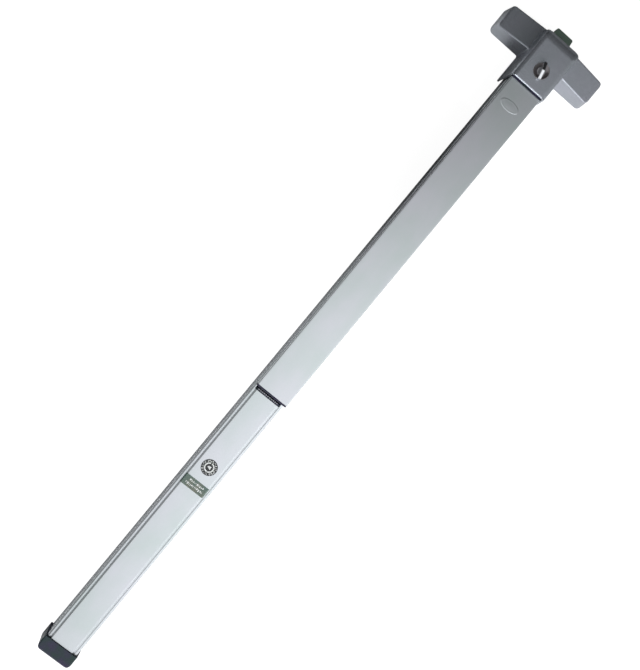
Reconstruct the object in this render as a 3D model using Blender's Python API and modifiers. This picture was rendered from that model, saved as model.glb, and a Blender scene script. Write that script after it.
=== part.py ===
"""Panic exit bar: a touch-bar exit device with its working mechanism, lying on its back.

Metres, +Z up. The door's face is z = 0 and +Z points out of the door. +X runs along the bar from
the end cap to the latch bolt, and the origin is at the middle of the footprint. Places along the
bar are stations, measured from the outer end of the end cap, and x_at() turns one into X.

Pressing the pad (-Z) swings two bell cranks, which pull the draw rod away from the head (-X). The
rod swings the retractor lever, which draws the latch bolt into the head. The thumbturn carries a
hook that holds the rod back while the pad is down.
"""

import math

import bmesh
import bpy
from mathutils import Vector

# Overall
OVERALL_LENGTH = 1.073
GAP = 0.0003
WELD = 0.00001
PIN_SIDES = 16
ARC_STEP = math.radians(30)
SCREW_HOLE = 0.0019
DOOR_HOLE = 0.0026
HOLE_SIDES = 12
BRACKET_SHEET = 0.002
THROUGH = 0.02

# Rail: an extruded channel with two lips along its open front
RAIL_START = 0.008
RAIL_END = 1.000
RAIL_WIDTH = 0.0482
RAIL_HEIGHT = 0.036
RAIL_WALL = 0.002
RAIL_FLOOR = 0.0022
RAIL_LIP = 0.0018
RAIL_OPENING = 0.041
ON_FLOOR = RAIL_FLOOR + GAP

# Insert cover: fills the rail's front between the end cap and the push pad
INSERT_START = 0.020
INSERT_END = 0.452
INSERT_TOP = 0.037
INSERT_FLAT = 0.034
INSERT_WIDTH = 0.0386
INSERT_SHEET = 0.0018
INSERT_BEVEL = 0.0018
INSERT_FLANGE = 0.0218
INSERT_PLUG_BOTTOM = 0.026
INSERT_PLUG = 0.003
SEAL_STATION = 0.3327
SEAL_RADIUS = 0.01125
LABEL_STATION = 0.3021
LABEL_LENGTH = 0.0148
LABEL_WRAP = 0.0020
STICKER = 0.0003
STICKER_GAP = 0.0001

# End cap: a black hood over the rail's end
CAP_LENGTH = 0.025
CAP_WIDTH = 0.0524
CAP_HEIGHT = 0.0388
CAP_SLOPE = 0.004
CAP_FOOT = 0.0035
CAP_FLARE = 0.0009
CAP_CORNER = 0.0075
CAP_EDGE = 0.0022
CAP_SCREW_HEIGHT = 0.018
CAP_WALL = 0.0065
CAP_SEAT = 0.004
CAP_SEAT_RADIUS = 0.0038
END_BRACKET_START = 0.009
END_BRACKET_END = 0.042
END_BRACKET_UPRIGHT = 0.0025
END_BRACKET_TOP = 0.030
END_BRACKET_WIDTH = 0.034

# Push pad: a cap-shaped extrusion with side skirts, and legs that run inside the rail's lips
PAD_START = 0.462
PAD_END = 0.9715
PAD_FRONT = 0.061
PAD_WIDTH = 0.0484
PAD_SHEET = 0.002
PAD_SKIRT = 0.011
PAD_LEG_OUTSIDE = 0.0396
PAD_LEG_SHEET = 0.0018
PAD_LEG_BOTTOM = 0.031
PAD_PLUG = 0.0022
PAD_HEAD_PLUG = 0.011
PLUG_INSET = 0.0002
PLUG_NOTCH = 0.0140
PAD_TRAVEL = 0.013
EMBLEM_STATION = 0.9407
EMBLEM_OFFSET = 0.0019
EMBLEM_SIZE = (0.0135, 0.0285)

# Bell cranks: the lift arm points away from the head and the rod arm points up
CRANK_STATIONS = (0.570, 0.900)
CRANK_PIVOT_HEIGHT = 0.015
LIFT_ARM = 0.026
ARM_HALF_WIDTH = 0.0045
PLATE = 0.004
PIVOT_RADIUS = 0.0025
LINK_RADIUS = 0.002
LIFT_EAR = 0.0062
LIFT_SHEET = 0.002
PIVOT_EAR_TOP = 0.020
FOOT_SCREW_OFFSET = 0.010

# Draw rod: a flat bar on edge beside the cranks
ROD_HEIGHT = 0.034
ROD_DEPTH = 0.010
ROD_THICK = 0.003
ROD_CORNER = 0.003
ROD_OFFSET = 0.0041
LUG_OFFSET = 0.052
LUG_THICK = 0.002
LUG_FAR_SIDE = -0.0095
SEAT_OFFSET = 0.020
RETURN_SPRING_OFFSET = -0.0048

# Retractor lever and latch bolt
LEVER_STATION = 1.0145
LEVER_PIVOT_HEIGHT = 0.050
LATCH_PIN_HEIGHT = 0.019
LATCH_TRAVEL = 0.019
LATCH_WIDTH = 0.027
LATCH_BOTTOM = 0.008
LATCH_TOP = 0.026
LATCH_REAR = 1.036
LATCH_NOSE = 0.0105
LATCH_BEVEL = 0.013
LATCH_CORNER = 0.003
LATCH_NARROWING = 0.0003
LATCH_SPRING_OFFSET = 0.0093
LATCH_SPRING_HEIGHT = 0.017
GUIDE_FOOT = 0.0022

# Head: a T-shaped cast case with a centre section and two wings
CASE_WALL = 0.0025
CASE_START = 0.9725
CASE_END = 1.050
CASE_TOP = 0.0695
CASE_BASE_HALF = 0.0297
CASE_TOP_HALF = 0.0273
CASE_EDGE = 0.0065
CASE_NOSE = 0.017
CASE_CORNER = 0.008
WING_NEAR = 1.0145
WING_FAR = 1.053
WING_SWEEP = 0.001
WING_TIP = 0.081
WING_TIP_TOP = 0.078
WING_TIP_HEIGHT = 0.033
WING_RISE = 0.2
WING_NEAR_DRAFT = 0.06
WING_FAR_DRAFT = 0.025
WING_CORNER = 0.007
WING_FAR_CORNER = 0.005
WING_EDGE = 0.0016
CASE_SCREW_Y = 0.055
CASE_SCREW_Z = 0.014
CASE_SEAT = 1.0512
CHASSIS_PLATE = 0.003
CHASSIS_NECK = 0.0262
CHASSIS_WING = 0.0755
CHASSIS_STATIONS = (1.0005, 1.0173, 1.0487)
TONGUE_SCREW = 0.992
GUIDE_SCREW = (1.040, 0.0205)
TOWER_OFFSET = 0.01575
TOWER_THICK = 0.0025

# Dogging thumbturn
TURN_STATION = 0.998
TURN_ANGLE = math.radians(17)
COLLAR_RADIUS = 0.0105
TURN_TOP = 0.079
TURN_HALF_LENGTH = 0.0115
TURN_THICK = 0.0036
SPINDLE_RADIUS = 0.0025
HOOK_BOTTOM = 0.0403
HOOK_THICK = 0.003
HOOK_REACH = 0.006
HOOK_HALF_WIDTH = 0.00175
DOG_TAB_INNER = 0.004
DOG_TAB_OUTER = 0.008
DOG_TAB_THICK = 0.002
DOG_TAB_GAP = 0.0004

# The linkage's angles and travels, from the pad's travel and the latch's throw
CRANK_HALF_SWING = math.asin(PAD_TRAVEL / 2 / LIFT_ARM)
LEVER_HALF_SWING = math.atan(
    LATCH_TRAVEL / 2 / (LEVER_PIVOT_HEIGHT - LATCH_PIN_HEIGHT)
)
ROD_TRAVEL = 2 * (LEVER_PIVOT_HEIGHT - ROD_HEIGHT) * math.tan(LEVER_HALF_SWING)
ROD_ARM = ROD_TRAVEL / 2 / math.sin(CRANK_HALF_SWING)

PLANES = {
    "XY": (0.0, 0.0, 0.0),
    "XZ": (math.pi / 2, 0.0, 0.0),
    "YZ": (math.pi / 2, 0.0, math.pi / 2),
}
AXES = {
    "X": (0.0, math.pi / 2, 0.0),
    "Y": (math.pi / 2, 0.0, 0.0),
    "Z": (0.0, 0.0, 0.0),
}


def x_at(station):
    return station - OVERALL_LENGTH / 2


# ---------------------------------------------------------------- scene and materials


def new_collection(name):
    collection = bpy.data.collections.new(name)
    bpy.context.scene.collection.children.link(collection)
    return collection


def clear_scene():
    for obj in list(bpy.data.objects):
        bpy.data.objects.remove(obj)


def new_material(name, colour, roughness, metallic):
    material = bpy.data.materials.new(name)
    material.use_nodes = True
    shader = material.node_tree.nodes["Principled BSDF"]
    shader.inputs["Base Color"].default_value = (*colour, 1.0)
    shader.inputs["Roughness"].default_value = roughness
    shader.inputs["Metallic"].default_value = metallic
    return material


clear_scene()
PARTS = new_collection("panic_exit_bar")
CUTTERS = new_collection("cutters")
MATERIALS = {
    "satin_aluminium": new_material("satin_aluminium", (0.45, 0.47, 0.48), 0.42, 0.9),
    "bright_aluminium": new_material("bright_aluminium", (0.68, 0.70, 0.71), 0.38, 0.9),
    "case_paint": new_material("case_paint", (0.20, 0.22, 0.22), 0.45, 0.6),
    "black_plastic": new_material("black_plastic", (0.02, 0.02, 0.025), 0.45, 0.0),
    "latch_steel": new_material("latch_steel", (0.11, 0.13, 0.12), 0.40, 0.9),
    "zinc_steel": new_material("zinc_steel", (0.50, 0.50, 0.47), 0.40, 1.0),
    "spring_steel": new_material("spring_steel", (0.30, 0.31, 0.32), 0.30, 1.0),
    "chrome": new_material("chrome", (0.80, 0.80, 0.80), 0.10, 1.0),
    "seal_print": new_material("seal_print", (0.12, 0.12, 0.13), 0.5, 0.0),
    "label_print": new_material("label_print", (0.10, 0.20, 0.16), 0.5, 0.0),
}


# ---------------------------------------------------------------- shape helpers


def finish(obj, material):
    """Give a solid its material, and smooth shading where it is round."""
    obj.data.materials.clear()
    obj.data.materials.append(MATERIALS[material])
    obj.data.shade_smooth()
    obj.data.set_sharp_from_angle(angle=math.radians(40))
    return obj


def into(collection, obj):
    for other in list(obj.users_collection):
        other.objects.unlink(obj)
    collection.objects.link(obj)


def as_cutter(tool):
    tool.hide_render = True
    tool.display_type = "WIRE"
    into(CUTTERS, tool)


def combine(obj, tools, operation):
    for tool in tools:
        modifier = obj.modifiers.new(tool.name, "BOOLEAN")
        modifier.operation = operation
        modifier.object = tool
        modifier.solver = "EXACT"
        as_cutter(tool)
    return obj


def cut(obj, *tools):
    return combine(obj, tools, "DIFFERENCE")


def fuse(obj, *tools):
    return combine(obj, tools, "UNION")


def rounded(corners):
    """Points of a polygon whose corners are (u, v) or, with a fillet, (u, v, radius)."""
    points = []
    for index, corner in enumerate(corners):
        here = Vector(corner[:2])
        if len(corner) == 2:
            points.append(tuple(here))
            continue
        radius = corner[2]
        back = (Vector(corners[index - 1][:2]) - here).normalized()
        ahead = (Vector(corners[(index + 1) % len(corners)][:2]) - here).normalized()
        half = back.angle(ahead) / 2
        centre = here + (back + ahead).normalized() * (radius / math.sin(half))
        spoke = here + back * (radius / math.tan(half)) - centre
        sweep = math.copysign(math.pi - 2 * half, (-back).cross(ahead))
        steps = max(1, round(abs(sweep) / ARC_STEP))
        for step in range(steps + 1):
            angle = sweep * step / steps
            cos, sin = math.cos(angle), math.sin(angle)
            turned_spoke = (spoke.x * cos - spoke.y * sin, spoke.x * sin + spoke.y * cos)
            points.append((centre.x + turned_spoke[0], centre.y + turned_spoke[1]))
    return points


def ellipse(u, v, radius_u, radius_v, sides=PIN_SIDES):
    turns = [math.tau * side / sides for side in range(sides)]
    return [(u + radius_u * math.cos(t), v + radius_v * math.sin(t)) for t in turns]


def circle(u, v, radius, sides=PIN_SIDES):
    return ellipse(u, v, radius, radius, sides)


def stadium(start, end, radius):
    """A bar with round ends, from one centre to the other."""
    along = Vector(end) - Vector(start)
    angle = math.atan2(along.y, along.x)
    half_turn = [math.pi * step / (PIN_SIDES // 2) for step in range(PIN_SIDES // 2 + 1)]
    points = []
    for (u, v), first in ((end, angle - math.pi / 2), (start, angle + math.pi / 2)):
        for turn in half_turn:
            points.append(
                (u + radius * math.cos(first + turn), v + radius * math.sin(first + turn))
            )
    return points


def as_mesh(name, curve_object):
    """Swap a curve object for a closed mesh object with the same place."""
    bpy.context.view_layer.update()
    graph = bpy.context.evaluated_depsgraph_get()
    mesh = bpy.data.meshes.new_from_object(curve_object.evaluated_get(graph))
    work = bmesh.new()
    work.from_mesh(mesh)
    bmesh.ops.remove_doubles(work, verts=work.verts, dist=WELD)
    bmesh.ops.recalc_face_normals(work, faces=work.faces)
    work.to_mesh(mesh)
    work.free()
    solid = bpy.data.objects.new(name, mesh)
    PARTS.objects.link(solid)
    solid.rotation_euler = curve_object.rotation_euler
    solid.location = curve_object.location
    bpy.data.objects.remove(curve_object)
    solid.name = name
    return solid


def new_curve(name, dimensions, point_lists, cyclic):
    curve = bpy.data.curves.new(name, "CURVE")
    curve.dimensions = dimensions
    for points in point_lists:
        spline = curve.splines.new("POLY")
        spline.points.add(len(points) - 1)
        for point, place in zip(spline.points, points):
            point.co = (*place, 0.0, 1.0) if len(place) == 2 else (*place, 1.0)
        spline.use_cyclic_u = cyclic
    return curve


def extrusion(name, outline, thickness, plane, centre, holes=()):
    """A flat outline, with any holes, extruded evenly to both sides of a plane."""
    curve = new_curve(name, "2D", (outline, *holes), True)
    curve.fill_mode = "BOTH"
    curve.extrude = thickness / 2
    obj = bpy.data.objects.new(name, curve)
    PARTS.objects.link(obj)
    obj.rotation_euler = PLANES[plane]
    obj.location = centre
    return as_mesh(name, obj)


def along_bar(name, outline, start, end):
    """A section in Y and Z, extruded from one station to another."""
    middle = (x_at((start + end) / 2), 0, 0)
    return extrusion(name, outline, end - start, "YZ", middle)


def box(name, low, high):
    size = Vector(high) - Vector(low)
    middle = (Vector(high) + Vector(low)) / 2
    bpy.ops.mesh.primitive_cube_add(size=1, location=middle)
    obj = bpy.context.object
    obj.name = name
    for vertex in obj.data.vertices:
        vertex.co = vertex.co * size
    into(PARTS, obj)
    return obj


def pin(name, radius, axis, middle, length, sides=PIN_SIDES):
    bpy.ops.mesh.primitive_cylinder_add(
        vertices=sides,
        radius=radius,
        depth=length,
        location=middle,
        rotation=AXES[axis],
    )
    obj = bpy.context.object
    obj.name = name
    into(PARTS, obj)
    return obj


def turned(name, profile, place, rotation, closed=False, steps=PIN_SIDES):
    """A profile of (radius, height) points turned about the local Z axis."""
    mesh = bpy.data.meshes.new(name)
    edges = [(i, i + 1) for i in range(len(profile) - 1)]
    if closed:
        edges.append((len(profile) - 1, 0))
    mesh.from_pydata([(r, 0.0, z) for r, z in profile], edges, [])
    obj = bpy.data.objects.new(name, mesh)
    PARTS.objects.link(obj)
    obj.location = place
    obj.rotation_euler = rotation
    screw = obj.modifiers.new("turn", "SCREW")
    screw.steps = steps
    screw.render_steps = steps
    screw.use_merge_vertices = True
    screw.merge_threshold = WELD
    return obj


def screw(name, place, rotation, shank_length, head=0.0032, shank=0.0016):
    """A pan-head screw: its origin is under the head, and its shank runs along local -Z."""
    height = head * 0.55
    profile = [
        (0.0, height),
        (head * 0.6, height * 0.92),
        (head, height * 0.45),
        (head, 0.0),
        (shank, 0.0),
        (shank, -shank_length),
        (0.0, -shank_length),
    ]
    return finish(turned(name, profile, place, rotation, steps=12), "zinc_steel")


def coil(name, start, end, radius, wire, turns, points_per_turn=10):
    """A compression spring between two points on a line along X."""
    start, end = Vector(start), Vector(end)
    count = turns * points_per_turn
    points = []
    for index in range(count + 1):
        angle = math.tau * index / points_per_turn
        middle = start.lerp(end, index / count)
        points.append(
            (middle.x, middle.y + radius * math.cos(angle), middle.z + radius * math.sin(angle))
        )
    curve = new_curve(name, "3D", [points], False)
    curve.bevel_depth = wire
    curve.bevel_resolution = 1
    curve.use_fill_caps = True
    obj = bpy.data.objects.new(name, curve)
    PARTS.objects.link(obj)
    return finish(as_mesh(name, obj), "spring_steel")


def tapered_block(name, bottom, top, radius_of_edge):
    """A six-faced block from four bottom and four top corners, with some edges rounded.

    radius_of_edge takes an edge's two corner numbers, 0 to 3 below and 4 to 7 above.
    """
    mesh = bpy.data.meshes.new(name)
    work = bmesh.new()
    bmesh.ops.create_cube(work, size=1)
    weights = work.edges.layers.float.new("bevel_weight_edge")
    ring = [(-1, -1), (1, -1), (1, 1), (-1, 1)]
    corners = {}
    for vertex in work.verts:
        side = tuple(round(math.copysign(1, value)) for value in vertex.co.xy)
        corners[vertex] = ring.index(side) + (4 if vertex.co.z > 0 else 0)
    places = list(bottom) + list(top)
    widest = max(radius_of_edge.values())
    for edge in work.edges:
        pair = tuple(sorted(corners[vertex] for vertex in edge.verts))
        edge[weights] = radius_of_edge.get(pair, 0.0) / widest
    for vertex, number in corners.items():
        vertex.co = places[number]
    work.to_mesh(mesh)
    work.free()
    obj = bpy.data.objects.new(name, mesh)
    PARTS.objects.link(obj)
    bevel = obj.modifiers.new("edges", "BEVEL")
    bevel.limit_method = "WEIGHT"
    bevel.width = widest
    bevel.segments = 4
    return obj


def joint_axis(name, place):
    """An empty on a joint's axis, which its moving pieces are parented to."""
    empty = bpy.data.objects.new(name, None)
    empty.location = place
    PARTS.objects.link(empty)
    return empty


def attach(empty, *pieces):
    for piece in pieces:
        piece.parent = empty
        piece.location = piece.location - empty.location


# ---------------------------------------------------------------- rail, insert and end cap


def rail_screw_places():
    """Where a screw passes through the rail's floor."""
    places = [(station, side * FOOT_SCREW_OFFSET) for station in CRANK_STATIONS for side in (-1, 1)]
    return [*places, (TONGUE_SCREW, 0.0)]


def door_hole_places():
    return [(0.030, -0.009), (0.030, 0.009)]


def make_rail():
    half = RAIL_WIDTH / 2
    inside = half - RAIL_WALL
    lip = RAIL_OPENING / 2
    under_lip = RAIL_HEIGHT - RAIL_LIP
    right = [
        (half, 0, 0.0008),
        (half, RAIL_HEIGHT, 0.0008),
        (lip, RAIL_HEIGHT),
        (lip, under_lip),
        (inside, under_lip),
        (inside, RAIL_FLOOR),
    ]
    left = [(-corner[0], *corner[1:]) for corner in reversed(right)]
    rail = along_bar("rail", rounded(right + left), RAIL_START, RAIL_END)
    for number, (station, y) in enumerate(rail_screw_places()):
        place = (x_at(station), y, 0)
        cut(rail, pin(f"rail_screw_hole_{number}", SCREW_HOLE, "Z", place, THROUGH, HOLE_SIDES))
    for number, (station, y) in enumerate(door_hole_places()):
        place = (x_at(station), y, 0)
        cut(rail, pin(f"rail_door_hole_{number}", DOOR_HOLE, "Z", place, THROUGH, HOLE_SIDES))
    return finish(rail, "satin_aluminium")


def insert_side():
    """The right half of the insert's outer section, from its flat top to under the lip."""
    edge = INSERT_WIDTH / 2
    under_lip = RAIL_HEIGHT - RAIL_LIP - GAP
    return [(INSERT_FLAT / 2, INSERT_TOP), (edge, INSERT_TOP - INSERT_BEVEL), (edge, under_lip)]


def make_insert_cover():
    under_lip = RAIL_HEIGHT - RAIL_LIP - GAP
    inside = INSERT_FLAT / 2 - 0.0004
    right = insert_side() + [
        (INSERT_FLANGE, under_lip),
        (INSERT_FLANGE, under_lip - INSERT_SHEET),
        (inside, under_lip - INSERT_SHEET),
        (inside, INSERT_TOP - INSERT_SHEET),
    ]
    left = [(-y, z) for y, z in reversed(right)]
    cover = along_bar("insert_cover", left + right, INSERT_START, INSERT_END)
    return finish(cover, "bright_aluminium")


def make_insert_plug():
    edge = INSERT_WIDTH / 2
    right = insert_side() + [(edge, INSERT_PLUG_BOTTOM, 0.002)]
    left = [(-corner[0], *corner[1:]) for corner in reversed(right)]
    start = INSERT_END + GAP
    plug = along_bar("insert_plug", rounded(left + right), start, start + INSERT_PLUG)
    return finish(plug, "black_plastic")


def label_edge(gap):
    """The right half of the insert's top at a gap above it: the flat's corner and the wrapped end."""
    edge = INSERT_WIDTH / 2
    flat_end = Vector((INSERT_FLAT / 2, INSERT_TOP))
    slope = (Vector((edge, INSERT_TOP - INSERT_BEVEL)) - flat_end).normalized()
    outward = Vector((-slope.y, slope.x))
    half_turn = math.atan2(-slope.y, slope.x) / 2
    corner = flat_end + Vector((gap * math.tan(half_turn), gap))
    end = flat_end + slope * LABEL_WRAP + outward * gap
    return [tuple(corner), tuple(end)]


def make_stickers():
    """The round seal, and the label that wraps over both bevels of the insert."""
    low = INSERT_TOP + STICKER_GAP
    seal_place = (x_at(SEAL_STATION), 0, low + STICKER / 2)
    finish(pin("seal_disc", SEAL_RADIUS, "Z", seal_place, STICKER, 32), "seal_print")
    outer, inner = label_edge(STICKER_GAP + STICKER), label_edge(STICKER_GAP)
    right = outer + inner[::-1]
    left = [(-y, z) for y, z in reversed(right)]
    start, end = LABEL_STATION - LABEL_LENGTH / 2, LABEL_STATION + LABEL_LENGTH / 2
    finish(along_bar("label_plate", right + left, start, end), "label_print")


def make_end_cap():
    """The hood: at the door it is longer at both ends and wider than at its top."""
    half = CAP_WIDTH / 2
    foot, base = CAP_LENGTH + CAP_FOOT, half + CAP_FLARE
    low = [(0, -base), (foot, -base), (foot, base), (0, base)]
    high = [(CAP_SLOPE, -half), (CAP_LENGTH, -half), (CAP_LENGTH, half), (CAP_SLOPE, half)]
    edges = {(0, 4): CAP_CORNER, (3, 7): CAP_CORNER}
    edges.update({(4, 5): CAP_EDGE, (6, 7): CAP_EDGE, (4, 7): CAP_EDGE, (1, 2): CAP_FOOT})
    cap = tapered_block(
        "end_cap",
        [(x_at(x), y, 0) for x, y in low],
        [(x_at(x), y, CAP_HEIGHT) for x, y in high],
        edges,
    )
    hollow = box(
        "cap_hollow",
        (x_at(CAP_WALL), -RAIL_WIDTH / 2 - GAP, -0.01),
        (x_at(CAP_LENGTH + 0.005), RAIL_WIDTH / 2 + GAP, INSERT_TOP + GAP),
    )
    outer_end = (x_at(0), 0, CAP_SCREW_HEIGHT)
    seat = pin("cap_screw_seat", CAP_SEAT_RADIUS, "X", outer_end, 2 * CAP_SEAT)
    hole = pin("cap_screw_hole", SCREW_HOLE, "X", outer_end, THROUGH, HOLE_SIDES)
    finish(cut(cap, hollow, seat, hole), "black_plastic")
    place = (x_at(CAP_SEAT - GAP), 0, CAP_SCREW_HEIGHT)
    screw("end_cap_screw", place, (0, -math.pi / 2, 0), 0.010)


def make_end_bracket():
    start, end = x_at(END_BRACKET_START), x_at(END_BRACKET_END)
    inner = start + END_BRACKET_UPRIGHT
    outline = [
        (start, ON_FLOOR),
        (end, ON_FLOOR),
        (end, ON_FLOOR + BRACKET_SHEET),
        (inner, ON_FLOOR + BRACKET_SHEET),
        (inner, END_BRACKET_TOP),
        (start, END_BRACKET_TOP),
    ]
    bracket = extrusion("end_bracket", outline, END_BRACKET_WIDTH, "XZ", (0, 0, 0))
    tap_place = (start, 0, CAP_SCREW_HEIGHT)
    cut(bracket, pin("bracket_tap", SCREW_HOLE, "X", tap_place, 0.010, HOLE_SIDES))
    for number, (station, y) in enumerate(door_hole_places()):
        place = (x_at(station), y, 0)
        cut(bracket, pin(f"bracket_door_hole_{number}", DOOR_HOLE, "Z", place, THROUGH, HOLE_SIDES))
    finish(bracket, "zinc_steel")


# ---------------------------------------------------------------- push pad


def pad_section():
    half = PAD_WIDTH / 2
    inside = half - PAD_SHEET
    leg = PAD_LEG_OUTSIDE / 2
    under = PAD_FRONT - PAD_SHEET
    right = [
        (half, PAD_FRONT, 0.0018),
        (half, PAD_FRONT - PAD_SKIRT),
        (inside, PAD_FRONT - PAD_SKIRT),
        (inside, under),
        (leg, under),
        (leg, PAD_LEG_BOTTOM),
        (leg - PAD_LEG_SHEET, PAD_LEG_BOTTOM),
        (leg - PAD_LEG_SHEET, under),
    ]
    left = [(-corner[0], *corner[1:]) for corner in reversed(right)]
    return rounded(right + left)


def plug_section(notch=()):
    """The pad's outer section, solid, with an optional notch from below for the draw rod."""
    half = PAD_WIDTH / 2 - PLUG_INSET
    leg = PAD_LEG_OUTSIDE / 2 - PLUG_INSET
    front = PAD_FRONT - PLUG_INSET
    skirt = PAD_FRONT - PAD_SKIRT
    right = [(half, front, 0.0018), (half, skirt), (leg, skirt), (leg, PAD_LEG_BOTTOM, 0.001)]
    right += notch
    left = [(-corner[0], *corner[1:]) for corner in reversed(right)]
    return rounded(right + left)


def make_push_pad():
    pad = along_bar("push_pad", pad_section(), PAD_START, PAD_END)
    near = along_bar("pad_end_plug", plug_section(), PAD_START - GAP - PAD_PLUG, PAD_START - GAP)
    notch_top = ROD_HEIGHT + ROD_DEPTH / 2 + PAD_TRAVEL + 0.001
    notch = [(PLUG_NOTCH, PAD_LEG_BOTTOM), (PLUG_NOTCH, notch_top)]
    start = PAD_END + GAP
    far = along_bar("pad_head_plug", plug_section(notch), start, start + PAD_HEAD_PLUG)
    emblem = extrusion(
        "pad_emblem",
        ellipse(0, 0, EMBLEM_SIZE[0] / 2, EMBLEM_SIZE[1] / 2, 24),
        STICKER,
        "XY",
        (x_at(EMBLEM_STATION), EMBLEM_OFFSET, PAD_FRONT + STICKER_GAP + STICKER / 2),
    )
    finish(pad, "satin_aluminium")
    finish(near, "black_plastic")
    finish(far, "black_plastic")
    finish(emblem, "satin_aluminium")
    return [pad, near, far, emblem]


def roller_place(station):
    """The lift arm's pin at rest, in X and Z."""
    reach = LIFT_ARM * math.cos(CRANK_HALF_SWING)
    return x_at(station) - reach, CRANK_PIVOT_HEIGHT + PAD_TRAVEL / 2


def link_place(station):
    """The rod arm's pin at rest, in X and Z."""
    rise = ROD_ARM * math.cos(CRANK_HALF_SWING)
    return x_at(station) + ROD_TRAVEL / 2, CRANK_PIVOT_HEIGHT + rise


def make_lift_bracket(number, station):
    """An inverted U under the pad: the crank's roller runs in the slots of its two ears."""
    top = PAD_FRONT - PAD_SHEET - GAP
    x, z = roller_place(station)
    bottom = z - PIVOT_RADIUS - GAP - LIFT_SHEET
    sweep = LIFT_ARM * (1 - math.cos(CRANK_HALF_SWING))
    right = [
        (0.017, top),
        (0.017, top - LIFT_SHEET - 0.0002),
        (LIFT_EAR + LIFT_SHEET, top - LIFT_SHEET - 0.0002),
        (LIFT_EAR + LIFT_SHEET, bottom),
        (LIFT_EAR, bottom),
        (LIFT_EAR, top - LIFT_SHEET),
    ]
    left = [(-y, z) for y, z in reversed(right)]
    middle = x - sweep / 2
    bracket = extrusion(f"lift_bracket_{number}", right + left, 0.013, "YZ", (middle, 0, 0))
    reach = sweep / 2 + GAP
    slot = stadium((middle - reach, z), (middle + reach, z), PIVOT_RADIUS + GAP)
    cut(bracket, extrusion(f"lift_slot_{number}", slot, 0.03, "XZ", (0, 0, 0)))
    return finish(bracket, "zinc_steel")


# ---------------------------------------------------------------- cranks and draw rod


def make_base_bracket(number, station):
    floor, plate = ON_FLOOR, ON_FLOOR + BRACKET_SHEET
    ear = PIVOT_EAR_TOP
    right = [
        (0.014, floor),
        (0.014, plate),
        (0.0055, plate),
        (0.0055, ear),
        (0.003, ear),
        (0.003, plate + 0.0002),
    ]
    left = [(-y, z) for y, z in reversed(right)]
    name = f"base_bracket_{number}"
    bracket = along_bar(name, left + right, station - 0.009, station + 0.009)
    seat = station + SEAT_OFFSET
    seat_outline = [
        (x_at(station + 0.007), floor),
        (x_at(seat + 0.002), floor),
        (x_at(seat + 0.002), 0.0395),
        (x_at(seat), 0.0395),
        (x_at(seat), plate),
        (x_at(station + 0.007), plate),
    ]
    upright = extrusion(f"seat_{number}", seat_outline, 0.0115, "XZ", (0, -0.00425, 0))
    stub_place = (x_at(seat + 0.0105), RETURN_SPRING_OFFSET, ROD_HEIGHT)
    stub = pin(f"seat_stub_{number}", 0.0022, "X", stub_place, 0.019, 12)
    fuse(bracket, upright, stub)
    pivot = (x_at(station), 0, CRANK_PIVOT_HEIGHT)
    cut(bracket, pin(f"ear_hole_{number}", PIVOT_RADIUS + GAP, "Y", pivot, 0.02))
    for side in (-1, 1):
        place = (x_at(station), side * FOOT_SCREW_OFFSET, floor)
        hole = pin(f"foot_hole_{number}_{side + 2}", SCREW_HOLE, "Z", place, THROUGH, HOLE_SIDES)
        cut(bracket, hole)
    finish(bracket, "zinc_steel")
    finish(pin(f"pivot_pin_{number}", PIVOT_RADIUS, "Y", pivot, 0.013), "spring_steel")
    for side in (-1, 1):
        index = 2 * number + (side - 1) // 2
        place = (x_at(station), side * FOOT_SCREW_OFFSET, plate + GAP)
        screw(f"bracket_screw_{index}", place, (0, 0, 0), plate - 0.0005)


def make_crank(number, station):
    pivot = (x_at(station), CRANK_PIVOT_HEIGHT)
    roller, link = roller_place(station), link_place(station)
    lift_arm = stadium(pivot, roller, ARM_HALF_WIDTH)
    rod_arm = stadium(pivot, link, ARM_HALF_WIDTH - 0.0002)
    crank = extrusion(f"bell_crank_{number}", lift_arm, PLATE, "XZ", (0, 0, 0))
    arm = extrusion(f"rod_arm_{number}", rod_arm, PLATE - 0.0002, "XZ", (0, 0, 0))
    fuse(crank, arm)
    for label, (x, z), radius in (
        ("pivot", pivot, PIVOT_RADIUS),
        ("roller", roller, PIVOT_RADIUS),
        ("link", link, LINK_RADIUS),
    ):
        cut(crank, pin(f"crank_{label}_hole_{number}", radius + GAP, "Y", (x, 0, z), 0.02))
    finish(crank, "zinc_steel")
    lift = pin(f"lift_roller_{number}", PIVOT_RADIUS, "Y", (roller[0], 0, roller[1]), 0.0175)
    link_pin = pin(f"link_pin_{number}", LINK_RADIUS, "Y", (link[0], 0.0019, link[1]), 0.009)
    finish(lift, "spring_steel")
    finish(link_pin, "spring_steel")
    return [crank, lift, link_pin]


def rod_end_x():
    return x_at(LEVER_STATION) + ROD_TRAVEL / 2


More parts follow.
